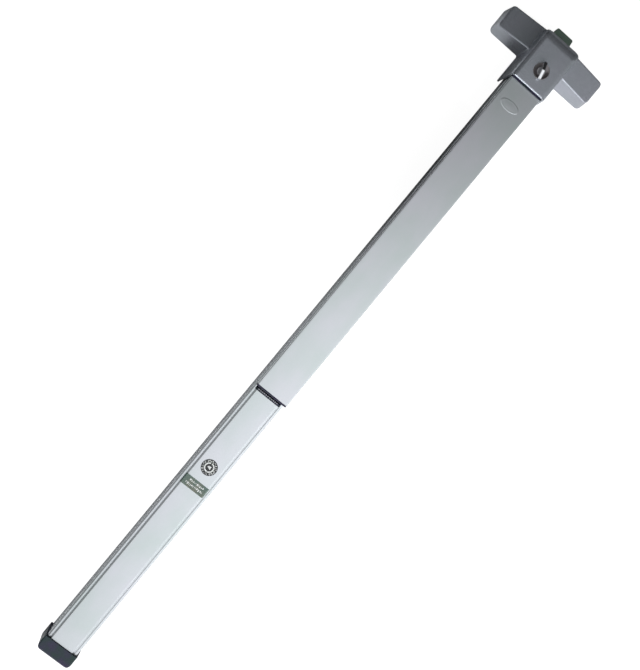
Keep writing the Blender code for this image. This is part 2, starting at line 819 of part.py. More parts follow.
def make_draw_rod():
    low, high = ROD_HEIGHT - ROD_DEPTH / 2, ROD_HEIGHT + ROD_DEPTH / 2
    start, end = x_at(CRANK_STATIONS[0] - 0.012), rod_end_x() + 0.0055
    corners = [(start, low), (end, low), (end, high), (start, high)]
    outline = rounded([(*corner, ROD_CORNER) for corner in corners])
    droop = ROD_ARM * (1 - math.cos(CRANK_HALF_SWING))
    slots = [circle(rod_end_x(), ROD_HEIGHT, LINK_RADIUS + GAP)]
    for station in CRANK_STATIONS:
        x, z = link_place(station)
        slots.append(stadium((x, z), (x, z + droop), LINK_RADIUS + GAP))
    rod = extrusion("draw_rod", outline, ROD_THICK, "XZ", (0, ROD_OFFSET, 0), slots)
    inner = ROD_OFFSET - ROD_THICK / 2
    for number, station in enumerate(CRANK_STATIONS, 1):
        lug_low = (x_at(station + LUG_OFFSET), LUG_FAR_SIDE, low + 0.0002)
        lug_high = (lug_low[0] + LUG_THICK, inner + 0.001, high - 0.0002)
        fuse(rod, box(f"lug_{number}", lug_low, lug_high))
    tab_end = x_at(TURN_STATION) - HOOK_HALF_WIDTH - DOG_TAB_GAP + ROD_TRAVEL
    tab = box(
        "dog_tab",
        (tab_end - DOG_TAB_THICK, DOG_TAB_INNER, high - 0.002),
        (tab_end, DOG_TAB_OUTER, HOOK_BOTTOM + HOOK_THICK + 0.0007),
    )
    fuse(rod, tab)
    finish(rod, "zinc_steel")
    end_pin = pin("rod_end_pin", LINK_RADIUS, "Y", (rod_end_x(), 0.0019, ROD_HEIGHT), 0.009)
    finish(end_pin, "spring_steel")
    return [rod, end_pin]


def make_return_spring(number, station):
    start = x_at(station + SEAT_OFFSET) + 0.002 + 0.0009
    end = x_at(station + LUG_OFFSET) - 0.0009
    y, z = RETURN_SPRING_OFFSET, ROD_HEIGHT
    coil(f"return_spring_{number}", (start, y, z), (end, y, z), 0.0037, 0.0006, 7)


# ---------------------------------------------------------------- latch and its retractor


def make_lever():
    rod_drop = LEVER_PIVOT_HEIGHT - ROD_HEIGHT
    latch_drop = LEVER_PIVOT_HEIGHT - LATCH_PIN_HEIGHT
    stretch = 1 / math.cos(LEVER_HALF_SWING)
    half, foot = ARM_HALF_WIDTH, latch_drop * stretch + 0.0045
    fork = LINK_RADIUS + GAP
    outline = rounded(
        [
            (half, 0.005, 0.004),
            (-half, 0.005, 0.004),
            (-half, -foot, 0.001),
            (-fork, -foot),
            (-fork, -latch_drop + 0.0026, 0.0015),
            (fork, -latch_drop + 0.0026, 0.0015),
            (fork, -foot),
            (half, -foot, 0.001),
        ]
    )
    slot = stadium((0, -rod_drop), (0, -rod_drop * stretch), LINK_RADIUS + GAP)
    pivot = (x_at(LEVER_STATION), 0, LEVER_PIVOT_HEIGHT)
    lever = extrusion("retractor_lever", outline, PLATE, "XZ", pivot, [slot])
    lever.rotation_euler.y = -LEVER_HALF_SWING
    boss = pin("lever_boss", 0.0044, "Y", pivot, 0.012)
    cut(fuse(lever, boss), pin("lever_hole", PIVOT_RADIUS + GAP, "Y", pivot, 0.03))
    finish(pin("lever_pin", PIVOT_RADIUS, "Y", pivot, 0.0356), "spring_steel")
    return finish(lever, "zinc_steel")


def latch_pin_x():
    return x_at(LEVER_STATION) + LATCH_TRAVEL / 2


def make_latch():
    rear, tip = x_at(LATCH_REAR), x_at(OVERALL_LENGTH)
    side = rounded(
        [
            (rear, LATCH_BOTTOM),
            (tip, LATCH_BOTTOM, 0.002),
            (tip, LATCH_BOTTOM + LATCH_NOSE, 0.002),
            (tip - LATCH_BEVEL, LATCH_TOP, 0.003),
            (rear, LATCH_TOP),
        ]
    )
    half = LATCH_WIDTH / 2
    plan = rounded(
        [
            (rear - 0.01, -half),
            (tip - 0.022, -half),
            (tip, -half + LATCH_NARROWING, LATCH_CORNER),
            (tip, half - LATCH_NARROWING, LATCH_CORNER),
            (tip - 0.022, half),
            (rear - 0.01, half),
        ]
    )
    bolt = extrusion("latch_bolt", side, LATCH_WIDTH + 0.002, "XZ", (0, 0, 0))
    mask = extrusion("latch_plan", plan, 0.06, "XY", (0, 0, 0.02))
    combine(bolt, [mask], "INTERSECT")
    tail_end = latch_pin_x() - 0.0035
    for sign in (-1, 1):
        near, far = sorted((sign * 0.0025, sign * 0.005))
        ear = box(f"latch_ear_{sign + 2}", (tail_end, near, 0.014), (rear + 0.002, far, 0.024))
        fuse(bolt, ear)
    place = (latch_pin_x(), 0, LATCH_PIN_HEIGHT)
    cut(bolt, pin("latch_pin_hole", LINK_RADIUS + GAP, "Y", place, 0.02))
    finish(bolt, "latch_steel")
    latch_pin = finish(pin("latch_pin", LINK_RADIUS, "Y", place, 0.0116), "spring_steel")
    return [bolt, latch_pin]


def make_latch_guide():
    inner, outer, foot = LATCH_WIDTH / 2 + 0.0006, LATCH_WIDTH / 2 + 0.0031, 0.024
    floor, top = CHASSIS_PLATE + GAP, LATCH_TOP + 0.0006
    right = [
        (inner, top),
        (inner, floor),
        (foot, floor),
        (foot, floor + GUIDE_FOOT),
        (outer, floor + GUIDE_FOOT),
        (outer, top + 0.0024),
    ]
    left = [(-y, z) for y, z in reversed(right)]
    guide = along_bar("latch_guide", right + left, 1.031, 1.0478)
    station, offset = GUIDE_SCREW
    seat = floor + GUIDE_FOOT + GAP
    for number, y in enumerate((-offset, offset), 1):
        place = (x_at(station), y, seat)
        cut(guide, pin(f"guide_hole_{number}", SCREW_HOLE, "Z", place, THROUGH, HOLE_SIDES))
        screw(f"guide_screw_{number}", place, (0, 0, 0), seat - 0.0005, 0.003)
    return finish(guide, "zinc_steel")


def make_latch_springs():
    start, end = x_at(1.003) + 0.0008, x_at(LATCH_REAR) - 0.0008
    for number, y in enumerate((-LATCH_SPRING_OFFSET, LATCH_SPRING_OFFSET), 1):
        z = LATCH_SPRING_HEIGHT
        coil(f"latch_spring_{number}", (start, y, z), (end, y, z), 0.0031, 0.0005, 8)


# ---------------------------------------------------------------- head


def centre_block(name, inset, start, bottom):
    """The centre section of the head, or its hollow when inset by the wall."""
    lean = (CASE_BASE_HALF - CASE_TOP_HALF) / CASE_TOP
    low_half = CASE_BASE_HALF - inset - lean * bottom
    top = CASE_TOP - inset
    high_half = CASE_BASE_HALF - inset - lean * top
    near, far = x_at(start), x_at(CASE_END - inset)
    low = [(near, -low_half), (far, -low_half), (far, low_half), (near, low_half)]
    high = [(near, -high_half), (far, -high_half), (far, high_half), (near, high_half)]
    edge, nose, corner = CASE_EDGE - inset, CASE_NOSE - inset, CASE_CORNER - inset
    edges = {(4, 5): edge, (6, 7): edge, (5, 6): nose, (1, 5): corner, (2, 6): corner}
    return tapered_block(name, [(*p, bottom) for p in low], [(*p, top) for p in high], edges)


def wing_block(name, inset, bottom):
    """Both wings as one bar across the head: a half, mirrored in the plane y = 0."""

    def near(z):
        return x_at(WING_NEAR + inset) + WING_NEAR_DRAFT * z

    def far(z):
        return x_at(WING_FAR - inset) - WING_FAR_DRAFT * z

    lean = (WING_TIP - WING_TIP_TOP) / WING_TIP_HEIGHT
    tip_top = WING_TIP_HEIGHT - inset
    tip_high = WING_TIP - inset - lean * tip_top
    tip_low = WING_TIP - inset - lean * bottom
    root_top = tip_top + WING_RISE * tip_high
    low = [
        (near(bottom), 0, bottom),
        (far(bottom), 0, bottom),
        (far(bottom) - WING_SWEEP, tip_low, bottom),
        (near(bottom), tip_low, bottom),
    ]
    high = [
        (near(root_top), 0, root_top),
        (far(root_top), 0, root_top),
        (far(tip_top) - WING_SWEEP, tip_high, tip_top),
        (near(tip_top), tip_high, tip_top),
    ]
    corner, far_corner = WING_CORNER - inset, WING_FAR_CORNER - inset
    edge = max(WING_EDGE - inset, 0.0004)
    edges = {(2, 6): far_corner, (3, 7): corner, (5, 6): edge, (6, 7): edge, (4, 7): edge}
    block = tapered_block(name, low, high, edges)
    mirror = block.modifiers.new("both_wings", "MIRROR")
    mirror.use_axis = (False, True, False)
    mirror.use_bisect_axis = (False, True, False)
    mirror.merge_threshold = WELD
    block.modifiers["edges"].segments = 3
    remove_root_face(block)
    return block


def remove_root_face(block):
    """Open the half at the mirror plane."""
    work = bmesh.new()
    work.from_mesh(block.data)
    root = [face for face in work.faces if all(abs(v.co.y) < WELD for v in face.verts)]
    bmesh.ops.delete(work, geom=root, context="FACES_ONLY")
    work.to_mesh(block.data)
    work.free()


def make_head_case():
    case = centre_block("head_case", 0, CASE_START, 0)
    fuse(case, wing_block("wing_outside", 0, 0))
    centre_hollow = centre_block("centre_hollow", CASE_WALL, CASE_START - 0.02, -0.005)
    cut(case, centre_hollow, wing_block("wing_hollow", CASE_WALL, -0.005))
    half = LATCH_WIDTH / 2 + 0.0006
    latch_slot = box(
        "latch_slot",
        (x_at(1.046), -half, LATCH_BOTTOM - 0.0006),
        (x_at(1.058), half, LATCH_TOP + 0.0006),
    )
    collar_place = (x_at(TURN_STATION), 0, CASE_TOP)
    collar_hole = pin("collar_hole", COLLAR_RADIUS + GAP, "Z", collar_place, 0.01, 32)
    cut(case, latch_slot, collar_hole)
    for number, side in enumerate((-1, 1), 1):
        y = side * CASE_SCREW_Y
        hole_place = (x_at(CASE_SEAT), y, CASE_SCREW_Z)
        seat_place = (x_at(CASE_SEAT + 0.003), y, CASE_SCREW_Z)
        hole = pin(f"case_hole_{number}", SCREW_HOLE, "X", hole_place, 0.01, HOLE_SIDES)
        seat = pin(f"case_seat_{number}", 0.0037, "X", seat_place, 0.006)
        cut(case, hole, seat)
        under_head = (x_at(CASE_SEAT + GAP), y, CASE_SCREW_Z)
        screw(f"case_screw_{number}", under_head, (0, math.pi / 2, 0), 0.0055, 0.003, 0.0015)
    return finish(case, "case_paint")


def make_chassis():
    neck, wing = CHASSIS_NECK, CHASSIS_WING
    near, shoulder, far = [x_at(station) for station in CHASSIS_STATIONS]
    outline = rounded(
        [
            (near, -neck),
            (shoulder, -neck),
            (shoulder, -wing, 0.004),
            (far, -wing, 0.004),
            (far, wing, 0.004),
            (shoulder, wing, 0.004),
            (shoulder, neck),
            (near, neck),
        ]
    )
    holes_at = x_at(1.033)
    door_holes = [circle(holes_at, y, DOOR_HOLE, HOLE_SIDES) for y in (-0.066, -0.038, 0.038, 0.066)]
    middle = (0, 0, CHASSIS_PLATE / 2)
    chassis = extrusion("head_chassis", outline, CHASSIS_PLATE, "XY", middle, door_holes)
    sunk = CHASSIS_PLATE - 0.0005
    tongue_top = ON_FLOOR + BRACKET_SHEET
    tongue = box("tongue", (x_at(0.984), -0.012, ON_FLOOR), (x_at(1.0065), 0.012, tongue_top))
    fuse(chassis, tongue)
    pivot = (x_at(LEVER_STATION), LEVER_PIVOT_HEIGHT)
    tower_outline = rounded(
        [
            (pivot[0] - 0.0075, sunk),
            (pivot[0] + 0.0075, sunk),
            (pivot[0] + 0.005, pivot[1] + 0.005, 0.004),
            (pivot[0] - 0.005, pivot[1] + 0.005, 0.004),
        ]
    )
    for sign in (-1, 1):
        label = sign + 2
        tower = extrusion(
            f"tower_{label}", tower_outline, TOWER_THICK, "XZ", (0, sign * TOWER_OFFSET, 0)
        )
        low, high = sorted((sign * 0.0056, sign * 0.0128))
        post = box(f"spring_post_{label}", (x_at(1.001), low, sunk), (x_at(1.003), high, 0.022))
        tab_low = (x_at(1.0462), sign * CASE_SCREW_Y - 0.005, sunk)
        tab_high = (x_at(1.0485), sign * CASE_SCREW_Y + 0.005, 0.020)
        tab = box(f"case_tab_{label}", tab_low, tab_high)
        fuse(chassis, tower, post, tab)
        tap_place = (x_at(1.048), sign * CASE_SCREW_Y, CASE_SCREW_Z)
        cut(chassis, pin(f"case_tap_{label}", 0.0018, "X", tap_place, 0.01, 12))
        guide_place = (x_at(GUIDE_SCREW[0]), sign * GUIDE_SCREW[1], 0)
        cut(chassis, pin(f"guide_tap_{label}", SCREW_HOLE, "Z", guide_place, 0.01, HOLE_SIDES))
    cut(
        chassis,
        pin("tower_hole", PIVOT_RADIUS + GAP, "Y", (pivot[0], 0, pivot[1]), 0.05),
        pin("tongue_hole", SCREW_HOLE, "Z", (x_at(TONGUE_SCREW), 0, 0), THROUGH, HOLE_SIDES),
    )
    finish(chassis, "zinc_steel")
    seat = tongue_top + GAP
    screw("tongue_screw", (x_at(TONGUE_SCREW), 0, seat), (0, 0, 0), seat - 0.0005)


# ---------------------------------------------------------------- dogging thumbturn


def make_turn_collar():
    """The dished ring that the thumbturn sits in, held by a flange under the case."""
    under_case = CASE_TOP - CASE_WALL - GAP
    rim = CASE_TOP + 0.0004
    profile = [
        (COLLAR_RADIUS, rim),
        (COLLAR_RADIUS, under_case),
        (0.0126, under_case),
        (0.0126, under_case - 0.0022),
        (SPINDLE_RADIUS + 0.0006, under_case - 0.0022),
        (SPINDLE_RADIUS + 0.0006, rim - 0.0027),
        (0.0065, rim - 0.0027),
        (COLLAR_RADIUS - 0.0005, rim),
    ]
    place = (x_at(TURN_STATION), 0, 0)
    finish(turned("turn_collar", profile, place, (0, 0, 0), closed=True, steps=32), "case_paint")


def make_thumbturn():
    x = x_at(TURN_STATION)
    half, low, shoulder = TURN_HALF_LENGTH, 0.0680, 0.0712
    outline = rounded(
        [
            (-0.0065, low),
            (0.0065, low),
            (half, shoulder),
            (half, TURN_TOP, 0.003),
            (-half, TURN_TOP, 0.003),
            (-half, shoulder),
        ]
    )
    blade = extrusion("thumbturn", outline, TURN_THICK, "XZ", (x, 0, 0))
    blade.rotation_euler.z = TURN_ANGLE
    fuse(blade, pin("turn_base", 0.0056, "Z", (x, 0, 0.0684), 0.0017))
    finish(blade, "chrome")
    spindle_low, spindle_high = HOOK_BOTTOM - 0.0007, 0.0672
    spindle_middle = (x, 0, (spindle_low + spindle_high) / 2)
    spindle = pin("turn_spindle", SPINDLE_RADIUS, "Z", spindle_middle, spindle_high - spindle_low)
    finish(spindle, "zinc_steel")
    bore = circle(0, 0, SPINDLE_RADIUS + GAP)
    clip = extrusion("spindle_clip", circle(0, 0, 0.0046), 0.0012, "XY", (x, 0, 0.0634), [bore])
    finish(clip, "spring_steel")
    hub, reach, half_width = 0.0037, HOOK_REACH, HOOK_HALF_WIDTH
    first = math.asin(half_width / hub)
    steps = 10
    turns = [first + (math.tau - 2 * first) * step / steps for step in range(steps + 1)]
    outline = [(hub * math.cos(t), hub * math.sin(t)) for t in turns]
    outline += [(reach, -half_width), (reach, half_width)]
    middle = (x, 0, HOOK_BOTTOM + HOOK_THICK / 2)
    hook = extrusion("dog_hook", outline, HOOK_THICK, "XY", middle, [bore])
    finish(hook, "zinc_steel")
    return [blade, spindle, clip, hook]


# ---------------------------------------------------------------- assembly


def make_fixed_pieces():
    make_rail()
    make_insert_cover()
    make_insert_plug()
    make_stickers()
    make_end_cap()
    make_end_bracket()
    make_head_case()
    make_chassis()
    make_latch_guide()
    make_latch_springs()
    make_turn_collar()
    for number, station in enumerate(CRANK_STATIONS, 1):
        make_base_bracket(number, station)
        make_return_spring(number, station)


def make_moving_pieces():
    pad_axis = joint_axis("pad_slide_axis", (x_at((PAD_START + PAD_END) / 2), 0, PAD_FRONT))
    attach(pad_axis, *make_push_pad())
    for number, station in enumerate(CRANK_STATIONS, 1):
        attach(pad_axis, make_lift_bracket(number, station))
        pivot = (x_at(station), 0, CRANK_PIVOT_HEIGHT)
        attach(joint_axis(f"crank_axis_{number}", pivot), *make_crank(number, station))
    rod_axis = joint_axis("rod_slide_axis", (rod_end_x(), ROD_OFFSET, ROD_HEIGHT))
    attach(rod_axis, *make_draw_rod())
    lever_axis = joint_axis("lever_axis", (x_at(LEVER_STATION), 0, LEVER_PIVOT_HEIGHT))
    attach(lever_axis, make_lever())
    latch_axis = joint_axis("latch_slide_axis", (latch_pin_x(), 0, LATCH_PIN_HEIGHT))
    attach(latch_axis, *make_latch())
    turn_axis = joint_axis("turn_axis", (x_at(TURN_STATION), 0, CASE_TOP))
    attach(turn_axis, *make_thumbturn())


make_fixed_pieces()
make_moving_pieces()
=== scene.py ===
"""Looks of the panic exit bar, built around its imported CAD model.

Metres, in the model's own frame: +X runs from the end cap to the latch bolt, +Z points out of the
door, and the origin is at the middle of the footprint. Stations are measured along the bar from
the outer end of the end cap.
"""

import math
import random

import bmesh
import bpy
from mathutils import Matrix, Vector


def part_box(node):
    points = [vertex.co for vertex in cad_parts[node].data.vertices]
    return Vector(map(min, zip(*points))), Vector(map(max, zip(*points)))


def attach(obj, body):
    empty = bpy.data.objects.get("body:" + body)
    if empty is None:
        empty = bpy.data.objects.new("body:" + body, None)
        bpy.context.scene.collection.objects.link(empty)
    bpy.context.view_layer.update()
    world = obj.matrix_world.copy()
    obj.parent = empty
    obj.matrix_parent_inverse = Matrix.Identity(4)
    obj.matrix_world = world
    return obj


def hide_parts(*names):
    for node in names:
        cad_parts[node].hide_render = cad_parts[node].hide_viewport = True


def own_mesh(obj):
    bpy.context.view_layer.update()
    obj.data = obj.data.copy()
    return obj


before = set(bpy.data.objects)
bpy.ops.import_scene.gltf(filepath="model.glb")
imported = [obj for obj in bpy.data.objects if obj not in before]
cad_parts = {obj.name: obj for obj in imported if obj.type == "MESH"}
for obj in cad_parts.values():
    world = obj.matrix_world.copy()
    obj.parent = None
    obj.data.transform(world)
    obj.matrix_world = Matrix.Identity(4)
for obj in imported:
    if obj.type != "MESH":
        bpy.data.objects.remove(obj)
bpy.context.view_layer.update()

OVERALL_LENGTH = 1.073

# Clearance between neighbours, the distance at which points are merged, and one step of an arc
GAP = 0.0003
WELD = 0.00001
ARC_STEP = math.radians(12)

# Rail: an extruded channel with two lips, whose floor has screw holes and door holes
RAIL_HEIGHT = 0.036
RAIL_WALL = 0.002
RAIL_FLOOR = 0.0022
RAIL_LIP = 0.0018
RAIL_OPENING_HALF = 0.0204
RAIL_LIP_FLAT = 0.0014
RAIL_LIP_FALL = 0.0011
DOOR_HOLE = 0.0026
DOOR_HOLE_STATION = 0.030
DOOR_HOLE_Y = 0.009
SCREW_HOLE = 0.0019
CRANK_STATIONS = (0.570, 0.900)
FOOT_SCREW_Y = 0.010
TONGUE_SCREW = 0.992

# Insert cover, its end plug and its label
INSERT_FLAT = 0.034
INSERT_EDGE = 0.0193
INSERT_BEVEL = 0.0018
INSERT_SHEET = 0.0018
INSERT_ARCH = 0.00012
GROOVE_LEDGE = 0.0009
GROOVE_END = 0.0202
SHALLOW_LEDGE_END = 0.02035
PLUG_STEP = 0.0010
PLUG_BEVEL = 0.0024
RIB_PITCH = 0.0030
RIB_HALF = 0.0009
LABEL_WRAP = 0.0020
LABEL_GAP = 0.0001
LABEL_TOP = 0.00036
LABEL_MARKS = (0.0003, 0.00038)

# End cap: a black hood over the rail's end
CAP_SLOPE = 0.004
CAP_FOOT = 0.0035
CAP_FLARE = 0.0009
CAP_CORNER = 0.0075
CAP_EDGE = 0.0022
CAP_INNER_EDGE = 0.0005
CAP_WALL = 0.0065
CAP_HOLLOW_END = 0.035
CAP_SCREW_HEIGHT = 0.018
CAP_SEAT = 0.004
CAP_SEAT_RADIUS = 0.0038

# Push pad
PAD_SHEET = 0.002
PAD_SKIRT = 0.011
PAD_LEG = 0.0198
PAD_LEG_SHEET = 0.0018
PAD_ARCH = 0.00018
PAD_CORNER = 0.0018
PAD_PLUG_INSET = 0.0002
PAD_PLUG_NOTCH = (0.0140, 0.053)

# Head case
CASE_WALL = 0.0025
CASE_START = 0.9725
CASE_END = 1.050
CASE_TOP = 0.0695
CASE_BASE_HALF = 0.0297
CASE_TOP_HALF = 0.0273
CASE_LEAN = (CASE_BASE_HALF - CASE_TOP_HALF) / CASE_TOP
CASE_EDGE = 0.0065
CASE_NOSE = 0.017
CASE_CORNER = 0.008
CASE_NEAR_EDGE = 0.0016
WING_NEAR = 1.0145
WING_FAR = 1.053
WING_SWEEP = 0.001
WING_TIP = 0.081
WING_TIP_TOP = 0.078
WING_TIP_HEIGHT = 0.033
WING_RISE = 0.2
WING_NEAR_DRAFT = 0.06
WING_FAR_DRAFT = 0.025
WING_CORNER = 0.007
WING_FAR_CORNER = 0.005
WING_EDGE = 0.0018
COVE_RADIUS = 0.003
CASE_SCREW_Y = 0.055
CASE_SCREW_Z = 0.014
CASE_SEAT_DEPTH = 1.0512
CASE_SEAT_RADIUS = 0.0037
LATCH_SLOT_STATIONS = (1.046, 1.058)
LATCH_SLOT_HALF = 0.0141
LATCH_SLOT_HEIGHTS = (0.0074, 0.0266)

# Thumbturn and the dish it stands in; the dish's bowl is (radius, depth below its rim)
TURN_STATION = 0.998
TURN_ANGLE = math.radians(17)
TURN_HALF = 0.0115
TURN_NECK_HALF = 0.0065
TURN_LOW = 0.0680
TURN_SHOULDER = 0.0712
TURN_THICK = 0.0044
TURN_DROP = 0.0036
TURN_BASE_RADIUS = 0.0056
TURN_BASE_HEIGHTS = (0.06755, 0.06925)
COLLAR_RADIUS = 0.0105
COLLAR_FLANGE = 0.0126
COLLAR_FLANGE_THICK = 0.0022
BOWL = ((0.0031, 0.0029), (0.0050, 0.0027), (0.0066, 0.0022), (0.0078, 0.0015), (0.0087, 0.0008))

# Latch bolt
LATCH_REAR = 1.036
LATCH_NOSE = 0.0105
LATCH_BEVEL = 0.013
LATCH_TAPER = 0.022
LATCH_NARROWING = 0.0003
LATCH_CORNER = 0.003
LATCH_EAR_SIDES = (0.0025, 0.005)
LATCH_EAR_HEIGHTS = (0.014, 0.024)
LATCH_PIN_INSET = 0.0035
LATCH_PIN_HEIGHT = 0.019
LATCH_PIN_HOLE = 0.0023

# Springs, as coil radius, wire radius and turns; screws, as head radius, shank radius and length
RETURN_COIL = (0.0037, 0.0006, 7)
LATCH_COIL = (0.0029, 0.0005, 8)
CAP_SCREW = (0.0032, 0.0016, 0.010)
CASE_SCREW = (0.003, 0.0015, 0.0055)

# Studio: how the room's brightness changes with the direction, as axis, start, end, first, last
WORLD_COLOUR = (1.08, 1.10, 1.11, 1.0)
WORLD_FADES = (
    ("X", -0.45, -0.20, 0.86, 1.12),
    ("X", 0.02, 0.235, 1.07, 0.33),
    ("X", 0.295, 0.38, 1.0, 0.10),
    ("Y", -0.25, 0.35, 1.06, 0.27),
    ("Z", -0.30, 0.25, 0.35, 1.0),
)

# Bounce floor dimmed by painted shade: patches of ground, each the product of its fades
SHADE_FADES = (
    (
        ("X", 0.00, 0.30, 0.0, 1.0),
        ("X", 0.38, 0.42, 1.0, 0.0),
        ("Y", -0.02, 0.01, 0.0, 1.0),
        ("Y", 0.080, 0.160, 1.0, 0.0),
    ),
    (
        ("X", 0.32, 0.38, 0.0, 0.9),
        ("Y", -0.02, 0.01, 0.0, 1.0),
        ("Y", 0.042, 0.062, 1.0, 0.0),
    ),
    (
        ("X", 0.30, 0.36, 1.0, 0.0),
        ("Y", -0.10, -0.07, 0.0, 0.5),
        ("Y", -0.02, -0.01, 1.0, 0.0),
    ),
    (
        ("X", 0.36, 0.44, 0.0, 1.0),
        ("Y", -0.10, -0.03, 0.25, 0.25),
        ("Y", -0.03, -0.02, 1.0, 0.0),
    ),
    (("X", 0.497, 0.53, 0.0, 0.9),),
)

# Floors, as level, albedo and glow; the camera
FLOOR_HALF = 6.0
FLOOR_FLAT = 3.0
FLOOR_CELLS = 24
SEEN_FLOOR = (-0.0006, 0.60, 0.95)
BOUNCE_FLOOR = (-0.0003, 0.94, 0.03)
# The share of the bounce floor's colour that is left in its painted shade
BOUNCE_DARK = 0.12
CAMERA_LENS = 50.86
CAMERA_PLACE = (0.0505, 0.1495, 1.2698)
CAMERA_TURNS = (("Y", 1.24), ("X", -6.96), ("Z", -50.53))


def x_at(station):
    return station - OVERALL_LENGTH / 2


# ---------------------------------------------------------------- node materials


class Graph:
    """A material's node tree, with short ways to add and link nodes."""

    def __init__(self, name):
        self.material = bpy.data.materials.new(name)
        self.material.use_nodes = True
        self.tree = self.material.node_tree
        self.shader = self.tree.nodes["Principled BSDF"]

    def add(self, kind, inputs=None, **settings):
        node = self.tree.nodes.new("ShaderNode" + kind)
        for key, value in settings.items():
            setattr(node, key, value)
        for key, value in (inputs or {}).items():
            if isinstance(value, bpy.types.NodeSocket):
                self.tree.links.new(value, node.inputs[key])
            else:
                node.inputs[key].default_value = value
        return node

    def link(self, socket, name):
        self.tree.links.new(socket, self.shader.inputs[name])

    def place(self):
        return self.add("TexCoord").outputs["Object"]

    def stretched(self, scale):
        mapping = self.add("Mapping", {"Vector": self.place()})
        mapping.inputs["Scale"].default_value = scale
        return mapping.outputs["Vector"]

    def noise(self, scale, detail=3.0, roughness=0.55):
        vector = self.stretched(scale)
        node = self.add(
            "TexNoise", {"Vector": vector, "Scale": 1.0, "Detail": detail, "Roughness": roughness}
        )
        return node.outputs["Fac"]

    def spread(self, value, low, high, start=0.3, end=0.7):
        node = self.add(
            "MapRange",
            {"Value": value, "From Min": start, "From Max": end, "To Min": low, "To Max": high},
        )
        return node.outputs["Result"]

    def mix(self, factor, first, second, blend="MIX"):
        """Two colours mixed: a Mix node's colour sockets are inputs 6 and 7 and output 2."""
        inputs = {0: factor, 6: first, 7: second}
        return self.add("Mix", inputs, data_type="RGBA", blend_type=blend).outputs[2]

    def product(self, first, second):
        return self.add("Math", {0: first, 1: second}, operation="MULTIPLY").outputs[0]

    def bump(self, height, strength, depth):
        inputs = {"Height": height, "Strength": strength, "Distance": depth}
        self.link(self.add("Bump", inputs).outputs["Normal"], "Normal")

    def edges(self, radius):
        """1 on the sharp outer edges, 0 on the flats."""
        rounded_normal = self.add("Bevel", {"Radius": radius}, samples=4).outputs["Normal"]
        normal = self.add("NewGeometry").outputs["Normal"]
        dot = self.add("VectorMath", {0: rounded_normal, 1: normal}, operation="DOT_PRODUCT")
        return self.spread(dot.outputs["Value"], 1.0, 0.0, 0.90, 0.995)


EDGE_WEAR_RADIUS = 0.0005


def rgba(colour):
    return (*colour, 1.0)


def shade_of(colour, factor):
    return rgba([channel * factor for channel in colour])


def metal(name, colour, roughness, metallic, grain, wear, variation, bump=0.00002, spread=0.15):
    """A metal or metallic paint.

    grain gives the cells per metre along each axis and bump their depth. variation and spread are
    how far the tint and the roughness stray, and wear how much the sharp edges shine.
    """
    graph = Graph(name)
    fine = graph.noise(grain, 4.0, 0.6)
    wide = graph.noise((14, 22, 22), 3.0)
    darker, lighter = shade_of(colour, 1 - variation), shade_of(colour, 1 + variation)
    streak = graph.mix(graph.spread(fine, 0.0, 1.0), darker, lighter)
    cool, warm = rgba((0.89, 0.93, 0.92)), rgba((1.0, 0.975, 1.02))
    cloud = graph.mix(graph.spread(wide, 0.0, 1.0), cool, warm)
    base = graph.mix(1.0, streak, cloud, "MULTIPLY")
    broken = graph.spread(graph.noise((900, 900, 900), 3.0), 0.0, 1.0, 0.35, 0.65)
    worn = graph.product(graph.product(graph.edges(EDGE_WEAR_RADIUS), broken), wear)
    graph.link(graph.mix(worn, base, rgba((0.82, 0.83, 0.84))), "Base Color")
    rough = graph.spread(fine, roughness * (1 - spread), roughness * (1 + spread))
    graph.link(rough, "Roughness")
    graph.shader.inputs["Metallic"].default_value = metallic
    graph.bump(fine, 0.5, bump)
    return graph.material


def plastic(name, colour, other, roughness):
    """A moulded plastic in two close tints, with a fine eroded texture and paler scuffed edges."""
    graph = Graph(name)
    fine = graph.noise((2600, 2600, 2600), 3.0, 0.6)
    wide = graph.noise((60, 60, 60), 3.0)
    base = graph.mix(graph.spread(wide, 0.0, 1.0), rgba(colour), rgba(other))
    scuff = graph.product(graph.edges(EDGE_WEAR_RADIUS), 0.35)
    graph.link(graph.mix(scuff, base, rgba((0.11, 0.11, 0.14))), "Base Color")
    graph.link(graph.spread(fine, roughness * 0.8, roughness * 1.25), "Roughness")
    graph.shader.inputs["Specular IOR Level"].default_value = 0.3
    graph.bump(fine, 0.6, 0.00005)
    return graph.material


def printed(name, colour, other, drift_scale, fade):
    """A printed film: two inks that run into one another across the print, with a fine mottle."""
    graph = Graph(name)
    drift = graph.noise(drift_scale, 2.0)
    mottle = graph.noise((3000, 3000, 3000), 2.0)
    base = graph.mix(graph.spread(drift, 0.0, 1.0), rgba(colour), rgba(other))
    base = graph.mix(graph.spread(mottle, 0.0, fade), base, rgba((0.5, 0.52, 0.5)))
    graph.link(base, "Base Color")
    graph.link(graph.spread(mottle, 0.42, 0.6), "Roughness")
    graph.bump(mottle, 0.3, 0.00001)
    return graph.material


